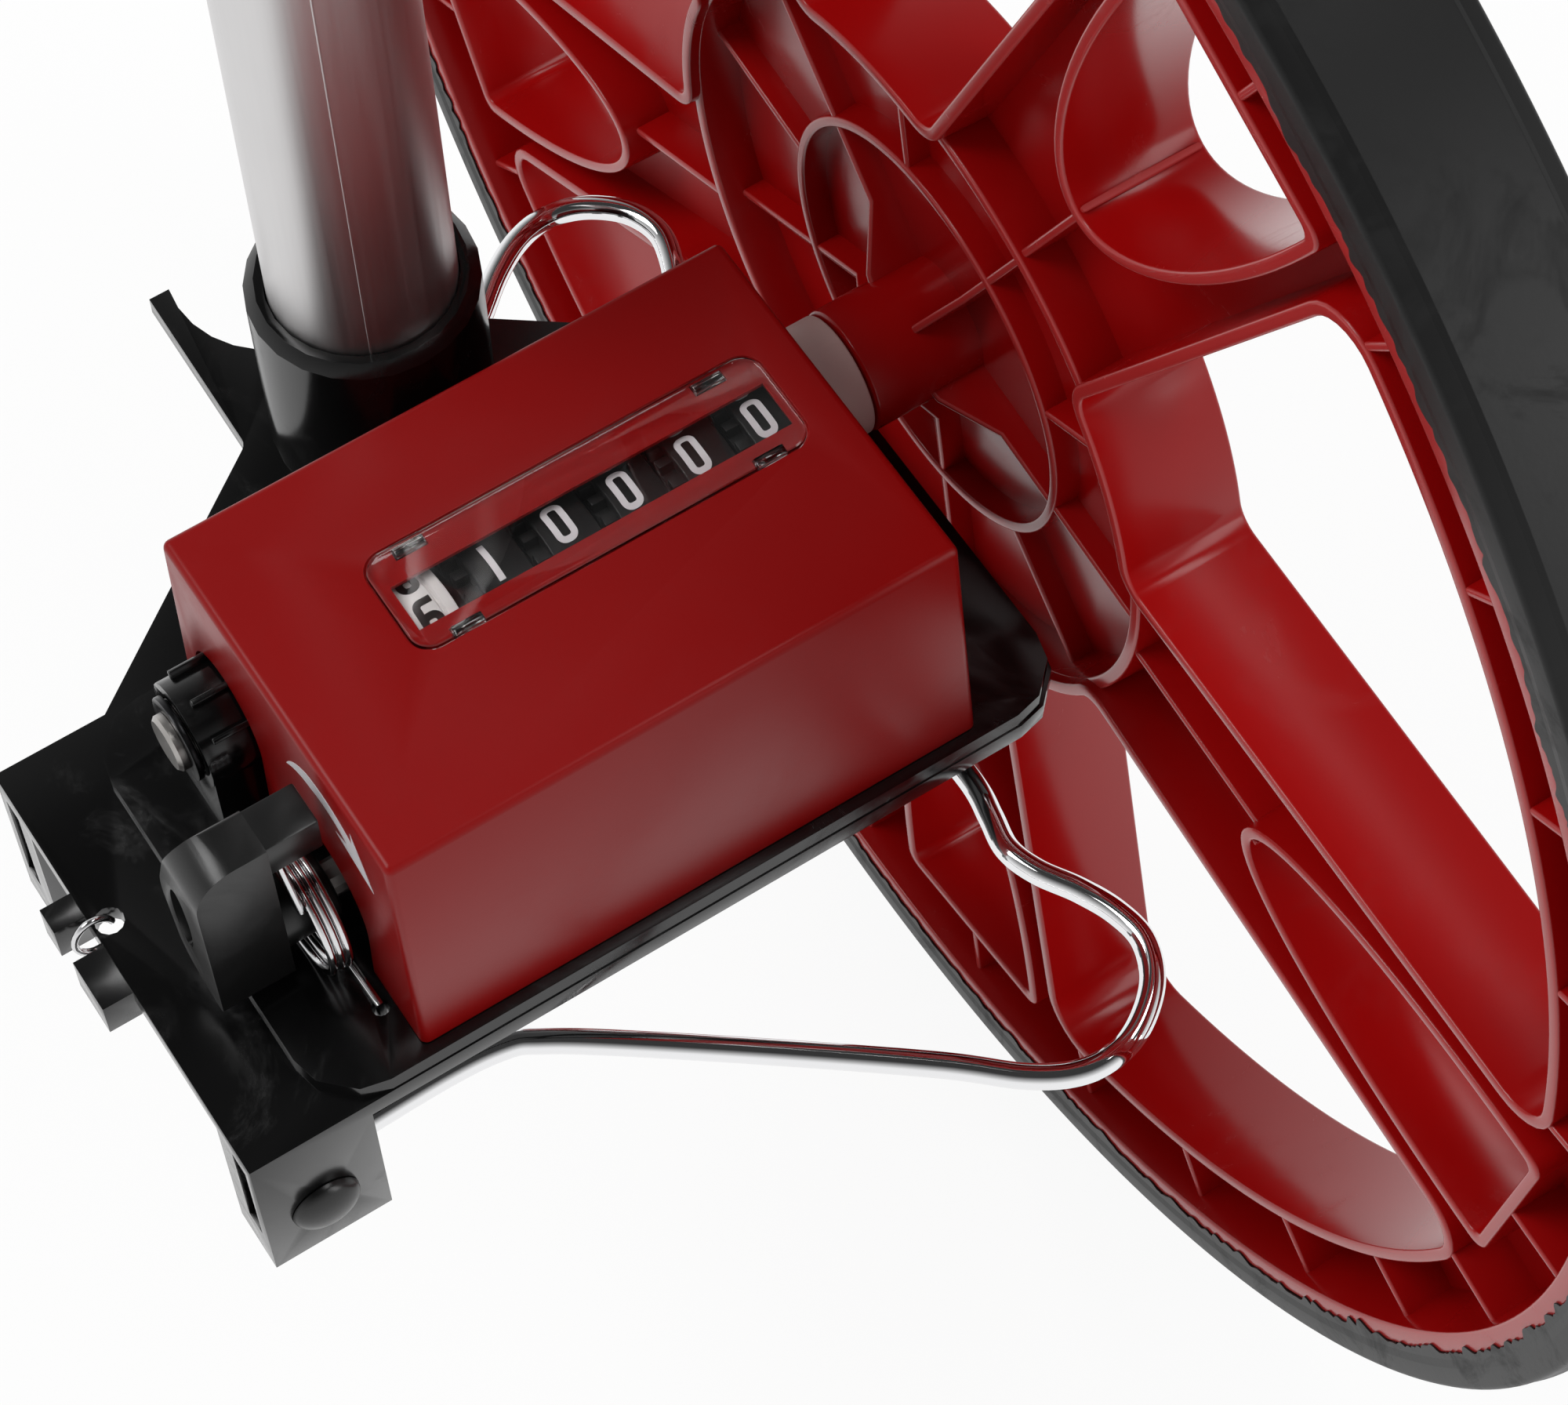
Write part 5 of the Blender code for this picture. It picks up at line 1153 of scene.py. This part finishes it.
def arrow_loop():
    """A bent band that widens from its tail, with a head at its end."""
    near = [(arrow_radius + arrow_half * min(1, tail_share + widening_share * i / arrow_steps),
             arrow_start + (arrow_neck - arrow_start) * i / arrow_steps) for i in range(arrow_steps + 1)]
    far = [(2 * arrow_radius - radius, angle) for radius, angle in near[::-1]]
    head = [(arrow_radius + head_half, arrow_neck + outer_barb), (arrow_radius + tip_offset, arrow_tip),
            (arrow_radius - head_half, arrow_neck + inner_barb)]
    return [(arrow_centre[0] + r * math.cos(math.radians(a)), arrow_centre[1] + r * math.sin(math.radians(a)))
            for r, a in near + head + far]


arrow = flat_shape("arrow", [arrow_loop()], arrow_thickness, facing_y(0, 0, axle_height))
lean = side_draft / (cover_top - cover_bottom)
for vert in arrow.data.vertices:
    vert.co.y += cover_low.y - lean * (cover_top - vert.co.z)
dress(arrow, "printed_arrow", "base", "drum_white", print_white)

# %% [markdown]
# ## Number drums
# Six drums sit side by side on one shaft. Each has a wide band with ten raised numbers, a
# narrower shoulder, and lugs round the shoulder that the transfer pinions catch. The numbers are
# drawn as strokes on a small grid and wrapped round the band, so they need no font.

# %% Strokes of the ten numbers
digit_width = 2.05 * mm
stroke_corner, stroke_corner_share = 0.8 * mm, 0.45
stroke_piece = 0.4 * mm
# Corners on a grid one wide and one high; True marks a closed stroke
digit_strokes = {
    0: [(True, [(0, 0), (1, 0), (1, 1), (0, 1)])],
    1: [(False, [(0.5, -0.06), (0.5, 1.06)])],
    2: [(False, [(0, 0.78), (0, 1), (1, 1), (1, 0.56), (0, 0.2), (0, 0), (1.1, 0)])],
    3: [(False, [(0, 0.8), (0, 1), (1, 1), (1, 0.53), (0.3, 0.53)]),
        (False, [(0.3, 0.53), (1, 0.53), (1, 0), (0, 0), (0, 0.2)])],
    4: [(False, [(0.74, -0.06), (0.74, 1), (-0.05, 0.28), (1.12, 0.28)])],
    5: [(False, [(1, 1), (0.02, 1), (0, 0.58), (1, 0.58), (1, 0), (0, 0), (0, 0.2)])],
    6: [(True, [(0, 0), (1, 0), (1, 0.56), (0, 0.56)]), (False, [(0, 0.3), (0, 1), (1, 1), (1, 0.8)])],
    7: [(False, [(-0.05, 1), (1, 1), (0.36, -0.06)])],
    8: [(True, [(0, 0), (1, 0), (1, 0.54), (0, 0.54)]),
        (True, [(0.04, 0.54), (0.96, 0.54), (0.96, 1), (0.04, 1)])],
    9: [(True, [(0, 0.46), (1, 0.46), (1, 1), (0, 1)]), (False, [(1, 0.7), (1, 0), (-0.12, 0)])],
}


def stroke_path(closed, corners, height):
    """Rounded stroke points, close enough together to follow the drum."""
    scaled = [((u - 0.5) * digit_width, (v - 0.5) * height, 0 if v < 0 or v > 1 else stroke_corner)
              for u, v in corners]
    short = min(math.dist(a[:2], b[:2]) for a, b in zip(scaled, scaled[1:]))
    fit = min(stroke_corner, stroke_corner_share * short)
    points = [Vector(p) for p in rounded([(u, v, min(r, fit)) for u, v, r in scaled], 5, closed)]
    if closed:
        points.append(points[0])
    path = [points[0]]
    for start, end in zip(points, points[1:]):
        pieces = max(1, math.ceil((end - start).length / stroke_piece))
        path += [start.lerp(end, (i + 1) / pieces) for i in range(pieces)]
    return path[:-1] if closed else path


# %% Wrap the numbers round a drum
drum_low, drum_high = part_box("drum_units")
drum_axis = Vector((drum_low.x + drum_high.x, 0, drum_low.z + drum_high.z)) / 2
drum_radius = 11 * mm
number_rise, number_root = 0.04 * mm, -0.12 * mm


def wrapped(across, around, depth, middle_y, first_angle):
    """A point of a drum's skin: across runs to the reader's right, around to the number's top."""
    angle = first_angle + around / drum_radius
    reach = drum_radius + depth
    return (drum_axis.x + reach * math.sin(angle), middle_y - across, drum_axis.z + reach * math.cos(angle))


def drum_numbers(name, middle_y, shown, offset_degrees, height, half):
    """The ten numbers of a drum, with the shown one at the top."""
    bm = bmesh.new()
    for digit, strokes in digit_strokes.items():
        first_angle = math.radians(36 * (digit - shown) + offset_degrees)
        for closed, corners in strokes:
            path = stroke_path(closed, corners, height)
            rows = []
            last = len(path) - 1
            for i, here in enumerate(path):
                before = path[i - 1] if closed or i else here
                after = path[(i + 1) % len(path)] if closed or i < last else here
                way = (after - before).normalized()
                side = Vector((-way.y, way.x)) * half
                section = ((here - side, number_rise), (here + side, number_rise),
                           (here + side, number_root), (here - side, number_root))
                rows.append([bm.verts.new(wrapped(p.x, p.y, depth, middle_y, first_angle))
                             for p, depth in section])
            bridge(bm, rows, closed)
    return piece_from(bm, name, outward=True)


# %% Profile of a drum
drum_bore = 2.3 * mm
drum_edge = 0.25 * mm
shoulder_radius = 9 * mm
band_groove_radius, band_groove_edge = drum_radius - 0.35 * mm, 0.1 * mm
# Distances of the groove's four corners below the high end of the band
band_groove_places = (1.4 * mm, 1.6 * mm, 1.9 * mm, 2.1 * mm)


def drum_profile(low_y, band_low, band_high, grooved):
    """Band, shoulder and bore; the tenths drum also has a groove beside its numbers."""
    first, second, third, fourth = (band_high - place for place in band_groove_places)
    groove = [(drum_radius, first, band_groove_edge), (band_groove_radius, second, 0),
              (band_groove_radius, third, 0), (drum_radius, fourth, band_groove_edge)]
    return rounded([(drum_radius, band_high, drum_edge), *(groove if grooved else []),
                    (drum_radius, band_low, drum_edge), (shoulder_radius, band_low, 0),
                    (shoulder_radius, low_y, drum_edge), (drum_bore, low_y, 0), (drum_bore, band_high, 0)], 3)


# %% Six drums
drum_pitch = 9.8 * mm
first_drum_y = -85.8 * mm
band_half, tenths_band_high = 3.5 * mm, 2.7 * mm
digit_height, stroke_half = 5.2 * mm, 0.44 * mm
tenths_height, tenths_stroke_half = 4.6 * mm, 0.5 * mm
reading_degrees = -3.5
lug_count, first_lug = 20, 0.1
lug_half, lug_edge = 0.7 * mm, 0.15 * mm
lug_root, lug_tip = 8.6 * mm, 10.3 * mm
lug_clearance, lug_overlap = 0.15 * mm, 0.05 * mm
# Each drum's name, its reading, and how far its numbers sit off the middle of the band
drums = (("tenths", 8.78, -0.9 * mm), ("units", 1.06, -0.6 * mm), ("tens", 0.09, -0.5 * mm),
         ("hundreds", 0.04, -1.0 * mm), ("thousands", 0, -1.0 * mm), ("ten_thousands", 0, -1.05 * mm))
at_drums = along_y(drum_axis.x, drum_axis.z)
for index, (label, reading, number_offset) in enumerate(drums):
    node = "drum_" + label
    light = index == 0
    middle_y = first_drum_y + drum_pitch * index
    low_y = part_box(node)[0].y
    band_low = middle_y - band_half
    band_high = middle_y + (tenths_band_high if light else band_half)
    drum = turned(node, drum_profile(low_y, band_low, band_high, light), at_drums, 120)
    lug = block("lug", (-lug_half, low_y + lug_clearance, lug_root),
                (lug_half, band_low + lug_overlap, lug_tip), lug_edge)
    drum = joined(node, [drum, grown_round("lugs", lug, lug_count, first_lug, drum_axis, drum_black)])
    if light:
        drawn = (reading, 0, tenths_height, tenths_stroke_half)
        drum_look, number_look = ("drum_white", drum_white), ("drum_black", drum_black)
    else:
        drawn = (reading, reading_degrees, digit_height, stroke_half)
        drum_look, number_look = ("drum_black", drum_black), ("drum_white", print_white)
    numbers = drum_numbers(node + "_numbers", middle_y + number_offset, *drawn)
    dress(drum, label + "_drum", label + "_body", *drum_look, node)
    dress(numbers, label + "_numbers", label + "_body", *number_look)

# %% [markdown]
# ## Bracket, bearings and lever
# The bracket is one glossy black moulding: plate, pad, tube socket, fork, legs and bearing
# bosses. Its construction solid already has the shape, so a copy is merged and its edges are
# rounded, which is what makes black gloss readable. Small fins stiffen the left bearing boss.

# %% Bracket with fins on the bearing boss
bracket_edge = 0.55 * mm
fin_angles = (-38, 8, 46)
fin_half, fin_edge = 0.45 * mm, 0.2 * mm
fin_outer_y, fin_inner_y = -115.4 * mm, -108.8 * mm
fin_root, fin_tip = 7 * mm, 8.7 * mm
bracket = softened_copy("bracket", "bracket_soft", bracket_edge, 3)
fins = []
for degrees in fin_angles:
    fin = block("fin", (-fin_half, fin_outer_y, fin_root), (fin_half, fin_inner_y, fin_tip), fin_edge)
    fin.data.transform(upright(0, 0, axle_height) @ Matrix.Rotation(math.radians(degrees), 4, "Y"))
    fins.append(fin)
bracket = joined("bracket_all", [bracket] + fins)
dress(bracket, "bracket_moulding", "base", "black_gloss_plastic", gloss_black, "bracket", sharp=38)

# %% Bearing bushes
bush_bore, bush_edge = 4.15 * mm, 0.25 * mm
for side in ("left", "right"):
    low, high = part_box("axle_bush_" + side)
    bush = sleeve("bush", (high.x - low.x) / 2, bush_bore, low.y, high.y, at_axle, bush_edge)
    dress(bush, "bearing_bush_" + side, "base", "pale_plastic", matt_black, "axle_bush_" + side)

# %% Thumb piece of the reset lever
lever_low, lever_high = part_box("reset_lever")
lever_inner_y = -119.5 * mm
lever_arm_y = -112.2 * mm
# Forward and upward distances from the lever's lower front corner, with corner radii
thumb_side = ((0, 0, 1), (0, 33.5, 0), (-6.9, 33.5, 1), (-12.4, 17, 14), (-9.5, 2.5, 6))
thumb_overrun, thumb_cut_width = 1 * mm, 20 * mm
thumb_corner, arm_corner = 6 * mm, 0.3 * mm
dish_half_width, dish_half_height, dish_depth = 2.3 * mm, 7 * mm, 1 * mm
dish_back, dish_up = 7 * mm, 15.5 * mm
thumb_edge, arm_edge = 0.3 * mm, 0.3 * mm

side_loop = rounded([(lever_high.x + u * mm, lever_low.z + v * mm, r * mm) for u, v, r in thumb_side], 10)
thumb_middle_y = (lever_low.y + lever_inner_y) / 2
thumb = flat_shape("thumb", [side_loop], lever_inner_y - lever_low.y, facing_y(0, thumb_middle_y, 0))
below_thumb = lever_low.z - thumb_overrun
top_loop = rounded([(lever_low.y, below_thumb, 0), (lever_arm_y, below_thumb, 0),
                    (lever_arm_y, lever_high.z, arm_corner), (lever_low.y, lever_high.z, thumb_corner)], 12)
across_x = Matrix(((0, 0, 1, reset_x), (1, 0, 0, 0), (0, 1, 0, 0), (0, 0, 0, 1)))
thumb = cut_by(thumb, [flat_shape("rounding", [top_loop], thumb_cut_width, across_x)], "INTERSECT")
dish = [(dish_half_width * u, dish_half_height * v) for u, v in circle(1, 40)]
at_dish = facing_y(lever_high.x - dish_back, lever_low.y, lever_low.z + dish_up)
thumb = cut_by(thumb, [flat_shape("dish", [dish], 2 * dish_depth, at_dish)])
thumb = softer(thumb, "thumb_soft", thumb_edge, 3, 30)
print("thumb piece", len(thumb.data.polygons), "faces")

# %% Arm and hub of the reset lever
arm_width, arm_height, arm_overlap = 6.7 * mm, 6.5 * mm, 3 * mm
arm_front_gap, arm_top_gap = 0.25 * mm, 0.02 * mm
hub_radius, hub_bore, hub_high_y = 5 * mm, 2.1 * mm, -111.2 * mm
arm = block("arm", (lever_high.x - arm_width, lever_inner_y - arm_overlap, lever_high.z - arm_height),
            (lever_high.x - arm_front_gap, lever_arm_y, lever_high.z - arm_top_gap), arm_edge)
at_reset = along_y(reset_x, reset_z)
hub = sleeve("hub", hub_radius, hub_bore, lever_inner_y - thumb_overrun, hub_high_y, at_reset)
lever = joined("lever_all", [thumb, arm, hub])
dress(lever, "reset_lever_moulding", "reset_body", "black_matt_plastic", matt_black, "reset_lever", sharp=35)

# %% Housing screws, one on each corner post
screw_length, screw_radius, screw_chamfer = 12 * mm, 1.5 * mm, 0.5 * mm
head_height, cross_half, cross_arm = 2 * mm, 0.35 * mm, 1.5 * mm
cross_low_z, cross_high_z = -3 * mm, -0.9 * mm
# Radius and height of the domed head, from its flange down to its middle
head_profile = [(3 * mm, 0), (2.9 * mm, -0.9 * mm), (2.3 * mm, -1.7 * mm), (1.2 * mm, -head_height),
                (0, -head_height)]
screw = turned("screw", [(0, screw_length), (screw_radius, screw_length - screw_chamfer), (screw_radius, 0)]
               + head_profile, upright(0, 0), 48)
screw = cut_by(screw, [block("cross", (-u, -v, cross_low_z), (u, v, cross_high_z))
                       for u, v in ((cross_arm, cross_half), (cross_half, cross_arm))])
screw_nodes = ["housing_screw_%d" % (i + 1) for i in range(4)]
screw_boxes = [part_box(node) for node in screw_nodes]
screw_places = [((low.x + high.x) / 2, (low.y + high.y) / 2, low.z + head_height)
                for low, high in screw_boxes]
screws = grown("housing_screws", point_tree, screw, screw_places, Finish=steel)
dress(screws, "housing_screw_set", "base", "steel", steel, *screw_nodes)

# %% [markdown]
# ## Wires and springs
# The stand is one bent chromed wire with an eye at each end, the reset spring is wound round
# the lever's hub, and a tension spring pulls the stand up. A bent wire is a smooth route through
# a few places, and a spring is a helix with legs, both swept with a round section.


# %% Smooth and round routes
def smooth_route(points, steps):
    """Catmull-Rom points through the route, ends included."""
    made = []
    last = len(points) - 1
    for i in range(last):
        p0, p1, p2, p3 = (Vector(points[max(0, min(last, k))]) for k in (i - 1, i, i + 1, i + 2))
        for s in range(steps):
            t = s / steps
            made.append(0.5 * (2 * p1 + (p2 - p0) * t + (2 * p0 - 5 * p1 + 4 * p2 - p3) * t * t
                               + (3 * p1 - p0 - 3 * p2 + p3) * t ** 3))
    made.append(Vector(points[-1]))
    return made


def hoop(centre, radius, angles, tall=1):
    """Places on a round hook or eye whose axle lies along X; tall stretches it upwards."""
    return [Vector((centre.x, centre.y + radius * math.cos(math.radians(a)),
                    centre.z + tall * radius * math.sin(math.radians(a)))) for a in angles]


# %% The stand's route
stand_half_span = 76 * mm
stand_reach = 109.5 * mm
stand_wire_radius = 1.75 * mm
stand_pivot = Vector((14.35 * mm, -128.8 * mm, axle_height - 39.6 * mm))
eye_radius = 4.1 * mm
stand_rise_share = 0.055
stand_skew_share = 0.05
# Shares of the half span and of the reach, from a leg to the middle of the stand
stand_route_shares = (
    (0.392, 0.20), (0.398, 0.285), (0.425, 0.325), (0.50, 0.40), (0.68, 0.565), (0.85, 0.715),
    (0.945, 0.79), (0.99, 0.845), (0.998, 0.895), (0.975, 0.94), (0.92, 0.982), (0.85, 1.0),
    (0.78, 0.992), (0.71, 0.97), (0.64, 0.94), (0.575, 0.925), (0.51, 0.93), (0.44, 0.935),
    (0.30, 0.93), (0.0, 0.93),
)
stand_middle_share = 0.93
leg_middles = {1: 43.6 * mm, -1: -14.9 * mm}


def stand_point(half_share, reach_share, side):
    """A place of the stand from its shares, on the front side (1) or the back side (-1)."""
    across = side * half_share * stand_half_span
    y = stand_pivot.y + reach_share * stand_reach - across * stand_skew_share
    rise = eye_radius + (y - stand_pivot.y) * stand_rise_share
    return Vector((stand_pivot.x + across, y, stand_pivot.z + rise))


def stand_side(side):
    """From the eye in a leg to the stand's middle."""
    eye_centre = Vector((leg_middles[side], stand_pivot.y, stand_pivot.z))
    eye = hoop(eye_centre, eye_radius, range(342, 89, -12))
    route = [stand_point(half, reach, side) for half, reach in stand_route_shares]
    route[0].x = leg_middles[side]
    return eye[:-1] + smooth_route([eye[-1]] + route, 8)


stand_path = stand_side(1) + stand_side(-1)[::-1][1:]
stand = wire("stand_wire", stand_path, stand_wire_radius, 7)
dress(stand, "stand_wire", "stand_body", "chrome_wire", chrome, "stand", sharp=60)

# %% Reset spring
spring_hole = Vector((38.4 * mm, -112.6 * mm, axle_height - 17 * mm))
spring_hole_rise, spring_hole_depth = 0.7 * mm, 2 * mm
coil_middle = Vector((reset_x, 0, reset_z)) + Vector((1.7, 0, 0)) * mm
coil_radius = 8.8 * mm
coil_wire = 0.56 * mm
coil_start_degrees, coil_step_degrees, coil_rounds = 62, 10, 4
coil_start_y, coil_end_y = -117.0 * mm, -112.9 * mm
hook_top = Vector((27.3 * mm, -117.9 * mm, axle_height + 12.4 * mm))


def reset_spring_path():
    """Up under the arm, three and a half turns, then low along the pad into its hole."""
    run = Vector((spring_hole.x - coil_middle.x, spring_hole.z - coil_middle.z))
    leave = math.degrees(math.atan2(run.y, run.x) - math.acos(coil_radius / run.length)) + coil_rounds * 360
    count = int((leave - coil_start_degrees) / coil_step_degrees)
    coil = []
    for i in range(count + 1):
        angle = math.radians(coil_start_degrees + (leave - coil_start_degrees) * i / count)
        coil.append(Vector((coil_middle.x + coil_radius * math.cos(angle),
                            coil_start_y + (coil_end_y - coil_start_y) * i / count,
                            coil_middle.z + coil_radius * math.sin(angle))))
    return [hook_top] + coil + [spring_hole + Vector((0, 0, spring_hole_rise)),
                                spring_hole - Vector((0, 0, spring_hole_depth))]


reset_spring = wire("reset_coil", reset_spring_path(), coil_wire, 4)
dress(reset_spring, "reset_spring_coil", "base", "spring_wire", spring_steel, "reset_spring", sharp=60)

# %% Tension spring of the stand
low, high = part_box("stand_spring")
tension_x = (low.x + high.x) / 2
tension_radius = 3 * mm
tension_wire = 0.5 * mm
tension_turns, points_per_turn = 42, 16
hook_radius, hook_tall = 2.9 * mm, 1.3
hook_middle = Vector((tension_x, -137.5 * mm, axle_height - 21.6 * mm))
near_leg, near_leg_rise, far_leg = 6 * mm, 1 * mm, 5 * mm
body_z = axle_height - 29.2 * mm
body_low_y, body_high_y = -118.5 * mm, -74.5 * mm
far_hook = stand_point((tension_x - stand_pivot.x) / stand_half_span, stand_middle_share, 1)
far_hook_radius = stand_wire_radius + tension_wire + 0.1 * mm


def tension_path():
    """Hook at the bracket's tab, close turns, and a hook round the stand's wire."""
    path = hoop(hook_middle, hook_radius, range(20, 300, 14), hook_tall)
    path.append(Vector((tension_x, body_low_y - near_leg, body_z + near_leg_rise)))
    count = tension_turns * points_per_turn
    for i in range(count + 1):
        angle = math.tau * i / points_per_turn
        path.append(Vector((tension_x + tension_radius * math.sin(angle),
                            body_low_y + (body_high_y - body_low_y) * i / count,
                            body_z + tension_radius * math.cos(angle))))
    path.append(Vector((tension_x, body_high_y + far_leg, body_z)))
    path.append(far_hook + Vector((0, -3 * far_hook_radius, -far_hook_radius)))
    return path + hoop(far_hook, far_hook_radius, range(-90, 140, 15))


tension = wire("tension_coil", tension_path(), tension_wire, 2)
dress(tension, "stand_tension_spring", "base", "spring_wire", spring_steel, "stand_spring", sharp=60)

# %% Domed rivets of the stand
dome_radius, dome_height = 4.9 * mm, 2.4 * mm
rivet_radius, rivet_length = 2 * mm, 9.2 * mm
rivet_gap = 0.1 * mm
dome = [(dome_radius * u, dome_height * v) for u, v in arc((0, 0), 1, 80, 0, 8)]
rivet_profile = [(0, dome_height), *dome, (rivet_radius, 0), (rivet_radius, -rivet_length),
                 (0, -rivet_length)]
for label, face, way in (("front", 48.2 * mm, 1), ("back", -19.5 * mm, -1)):
    place = upright(face + way * rivet_gap, stand_pivot.y, stand_pivot.z)
    rivet = turned("rivet", rivet_profile, place @ Matrix.Rotation(way * math.pi / 2, 4, "Y"), 64)
    dress(rivet, "pivot_rivet_" + label, "base", "black_matt_plastic", matt_black, "stand_rivet_" + label)

# %% [markdown]
# ## Handle
# Two lengths of drawn aluminium tube meet in a folding joint with a lobed locking knob, and a
# ribbed foam grip with an end cap closes the top. The photograph shows only the lowest part of
# the tube, so the joint and the grip follow what such wheels have.

# %% Tubes with their fine drawn line
tube_place = upright(-40.4 * mm, -66 * mm)
tube_wall, tube_edge = 1.2 * mm, 0.3 * mm
line_degrees = -24.5
line_radius, line_sink, line_end = 0.16 * mm, 0.04 * mm, 1 * mm
line_way = Matrix.Rotation(math.radians(line_degrees), 4, "Z")
for label, body in (("lower", "base"), ("upper", "handle_body")):
    node = label + "_tube"
    low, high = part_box(node)
    radius = (high.x - low.x) / 2
    tube = sleeve("tube", radius, radius - tube_wall, low.z, high.z, tube_place, tube_edge, 128)
    line_low, line_high = low.z + line_end, high.z - line_end
    line = turned("line", [(line_radius, line_low), (line_radius, line_high), (0, line_high), (0, line_low)],
                  tube_place @ line_way @ upright(radius - line_sink, 0), 10)
    dress(joined("tube_all", [tube, line]), label + "_handle_tube", body, "aluminium_tube", tube_metal, node)

# %% Folding joint
joint_edge = 0.4 * mm
for node, name, body, slot, finish in (
        ("fold_joint_lower", "fold_joint_lower_half", "base", "black_matt_plastic", matt_black),
        ("fold_joint_upper", "fold_joint_upper_half", "handle_body", "black_matt_plastic", matt_black),
        ("fold_knob", "locking_knob", "knob_body", "black_matt_plastic", matt_black),
        ("fold_pin", "folding_pin", "base", "steel", steel)):
    dress(softened_copy(node, name + "_soft", joint_edge, 2, 40), name, body, slot, finish, node, sharp=35)

# %% Ribbed grip
grip_low, grip_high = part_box("grip")
grip_outer, grip_inner = (grip_high.x - grip_low.x) / 2, 12.75 * mm
grip_chamfer, grip_chamfer_height = 1 * mm, 1.2 * mm
wave_pitch, wave_depth, wave_half_share = 4.6 * mm, 0.9 * mm, 0.2
plain_end = 8 * mm
wave_count = int((grip_high.z - grip_low.z - 2 * plain_end) / wave_pitch)
first_wave_z = (grip_low.z + grip_high.z - wave_pitch * (wave_count - 1)) / 2


def grip_wave(z):
    """One soft groove: a full wave, deepest in its middle."""
    return [(grip_outer - wave_depth * (0.5 + 0.5 * math.cos(math.radians(a))),
             z + wave_pitch * wave_half_share * a / 180) for a in range(-180, 181, 30)]


grip_profile = [(grip_outer - grip_chamfer, grip_low.z), (grip_outer, grip_low.z + grip_chamfer_height)]
for i in range(wave_count):
    grip_profile += grip_wave(first_wave_z + wave_pitch * i)
grip_profile += [(grip_outer, grip_high.z - grip_chamfer_height), (grip_outer - grip_chamfer, grip_high.z),
                 (grip_inner, grip_high.z), (grip_inner, grip_low.z)]
grip = turned("grip_sleeve", grip_profile, tube_place, 96)
dress(grip, "handle_grip", "handle_body", "grip_foam", grip_foam, "grip", sharp=40)

# %% End cap
low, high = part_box("end_cap")
cap_outer, plug_radius = (high.x - low.x) / 2, 10.9 * mm
cap_gap = 0.6 * mm
cap_base = grip_high.z + cap_gap
cap_round, cap_base_edge, plug_edge = 2.2 * mm, 0.3 * mm, 0.5 * mm
cap_profile = rounded([(0, high.z, 0), (cap_outer, high.z, cap_round), (cap_outer, cap_base, cap_base_edge),
                       (plug_radius, cap_base, 0), (plug_radius, low.z, plug_edge), (0, low.z, 0)], 6,
                      closed=False)
cap = turned("cap", cap_profile, tube_place, 96)
dress(cap, "handle_end_cap", "handle_body", "black_matt_plastic", matt_black, "end_cap")

# %% [markdown]
# ## What stays as construction
# The gears, pinions, plates and shafts inside the counter have their true shape already. They
# keep their construction meshes and only get a finish.

# %% Finish the inner works
inner_works = {
    brass: ["drive_gear", "input_gear"],
    drum_black: ["reset_fingers"] + ["transfer_pinion_%d" % (i + 1) for i in range(5)],
    steel: ["drum_shaft", "pinion_shaft", "reset_shaft", "counter_frame_left", "counter_frame_right",
            "socket_pin"],
}
for finish, nodes in inner_works.items():
    for node in nodes:
        mesh = frame["nodes"][node].data
        mesh.materials.clear()
        mesh.materials.append(finish)
    print(len(nodes), "inner nodes in", finish.name)
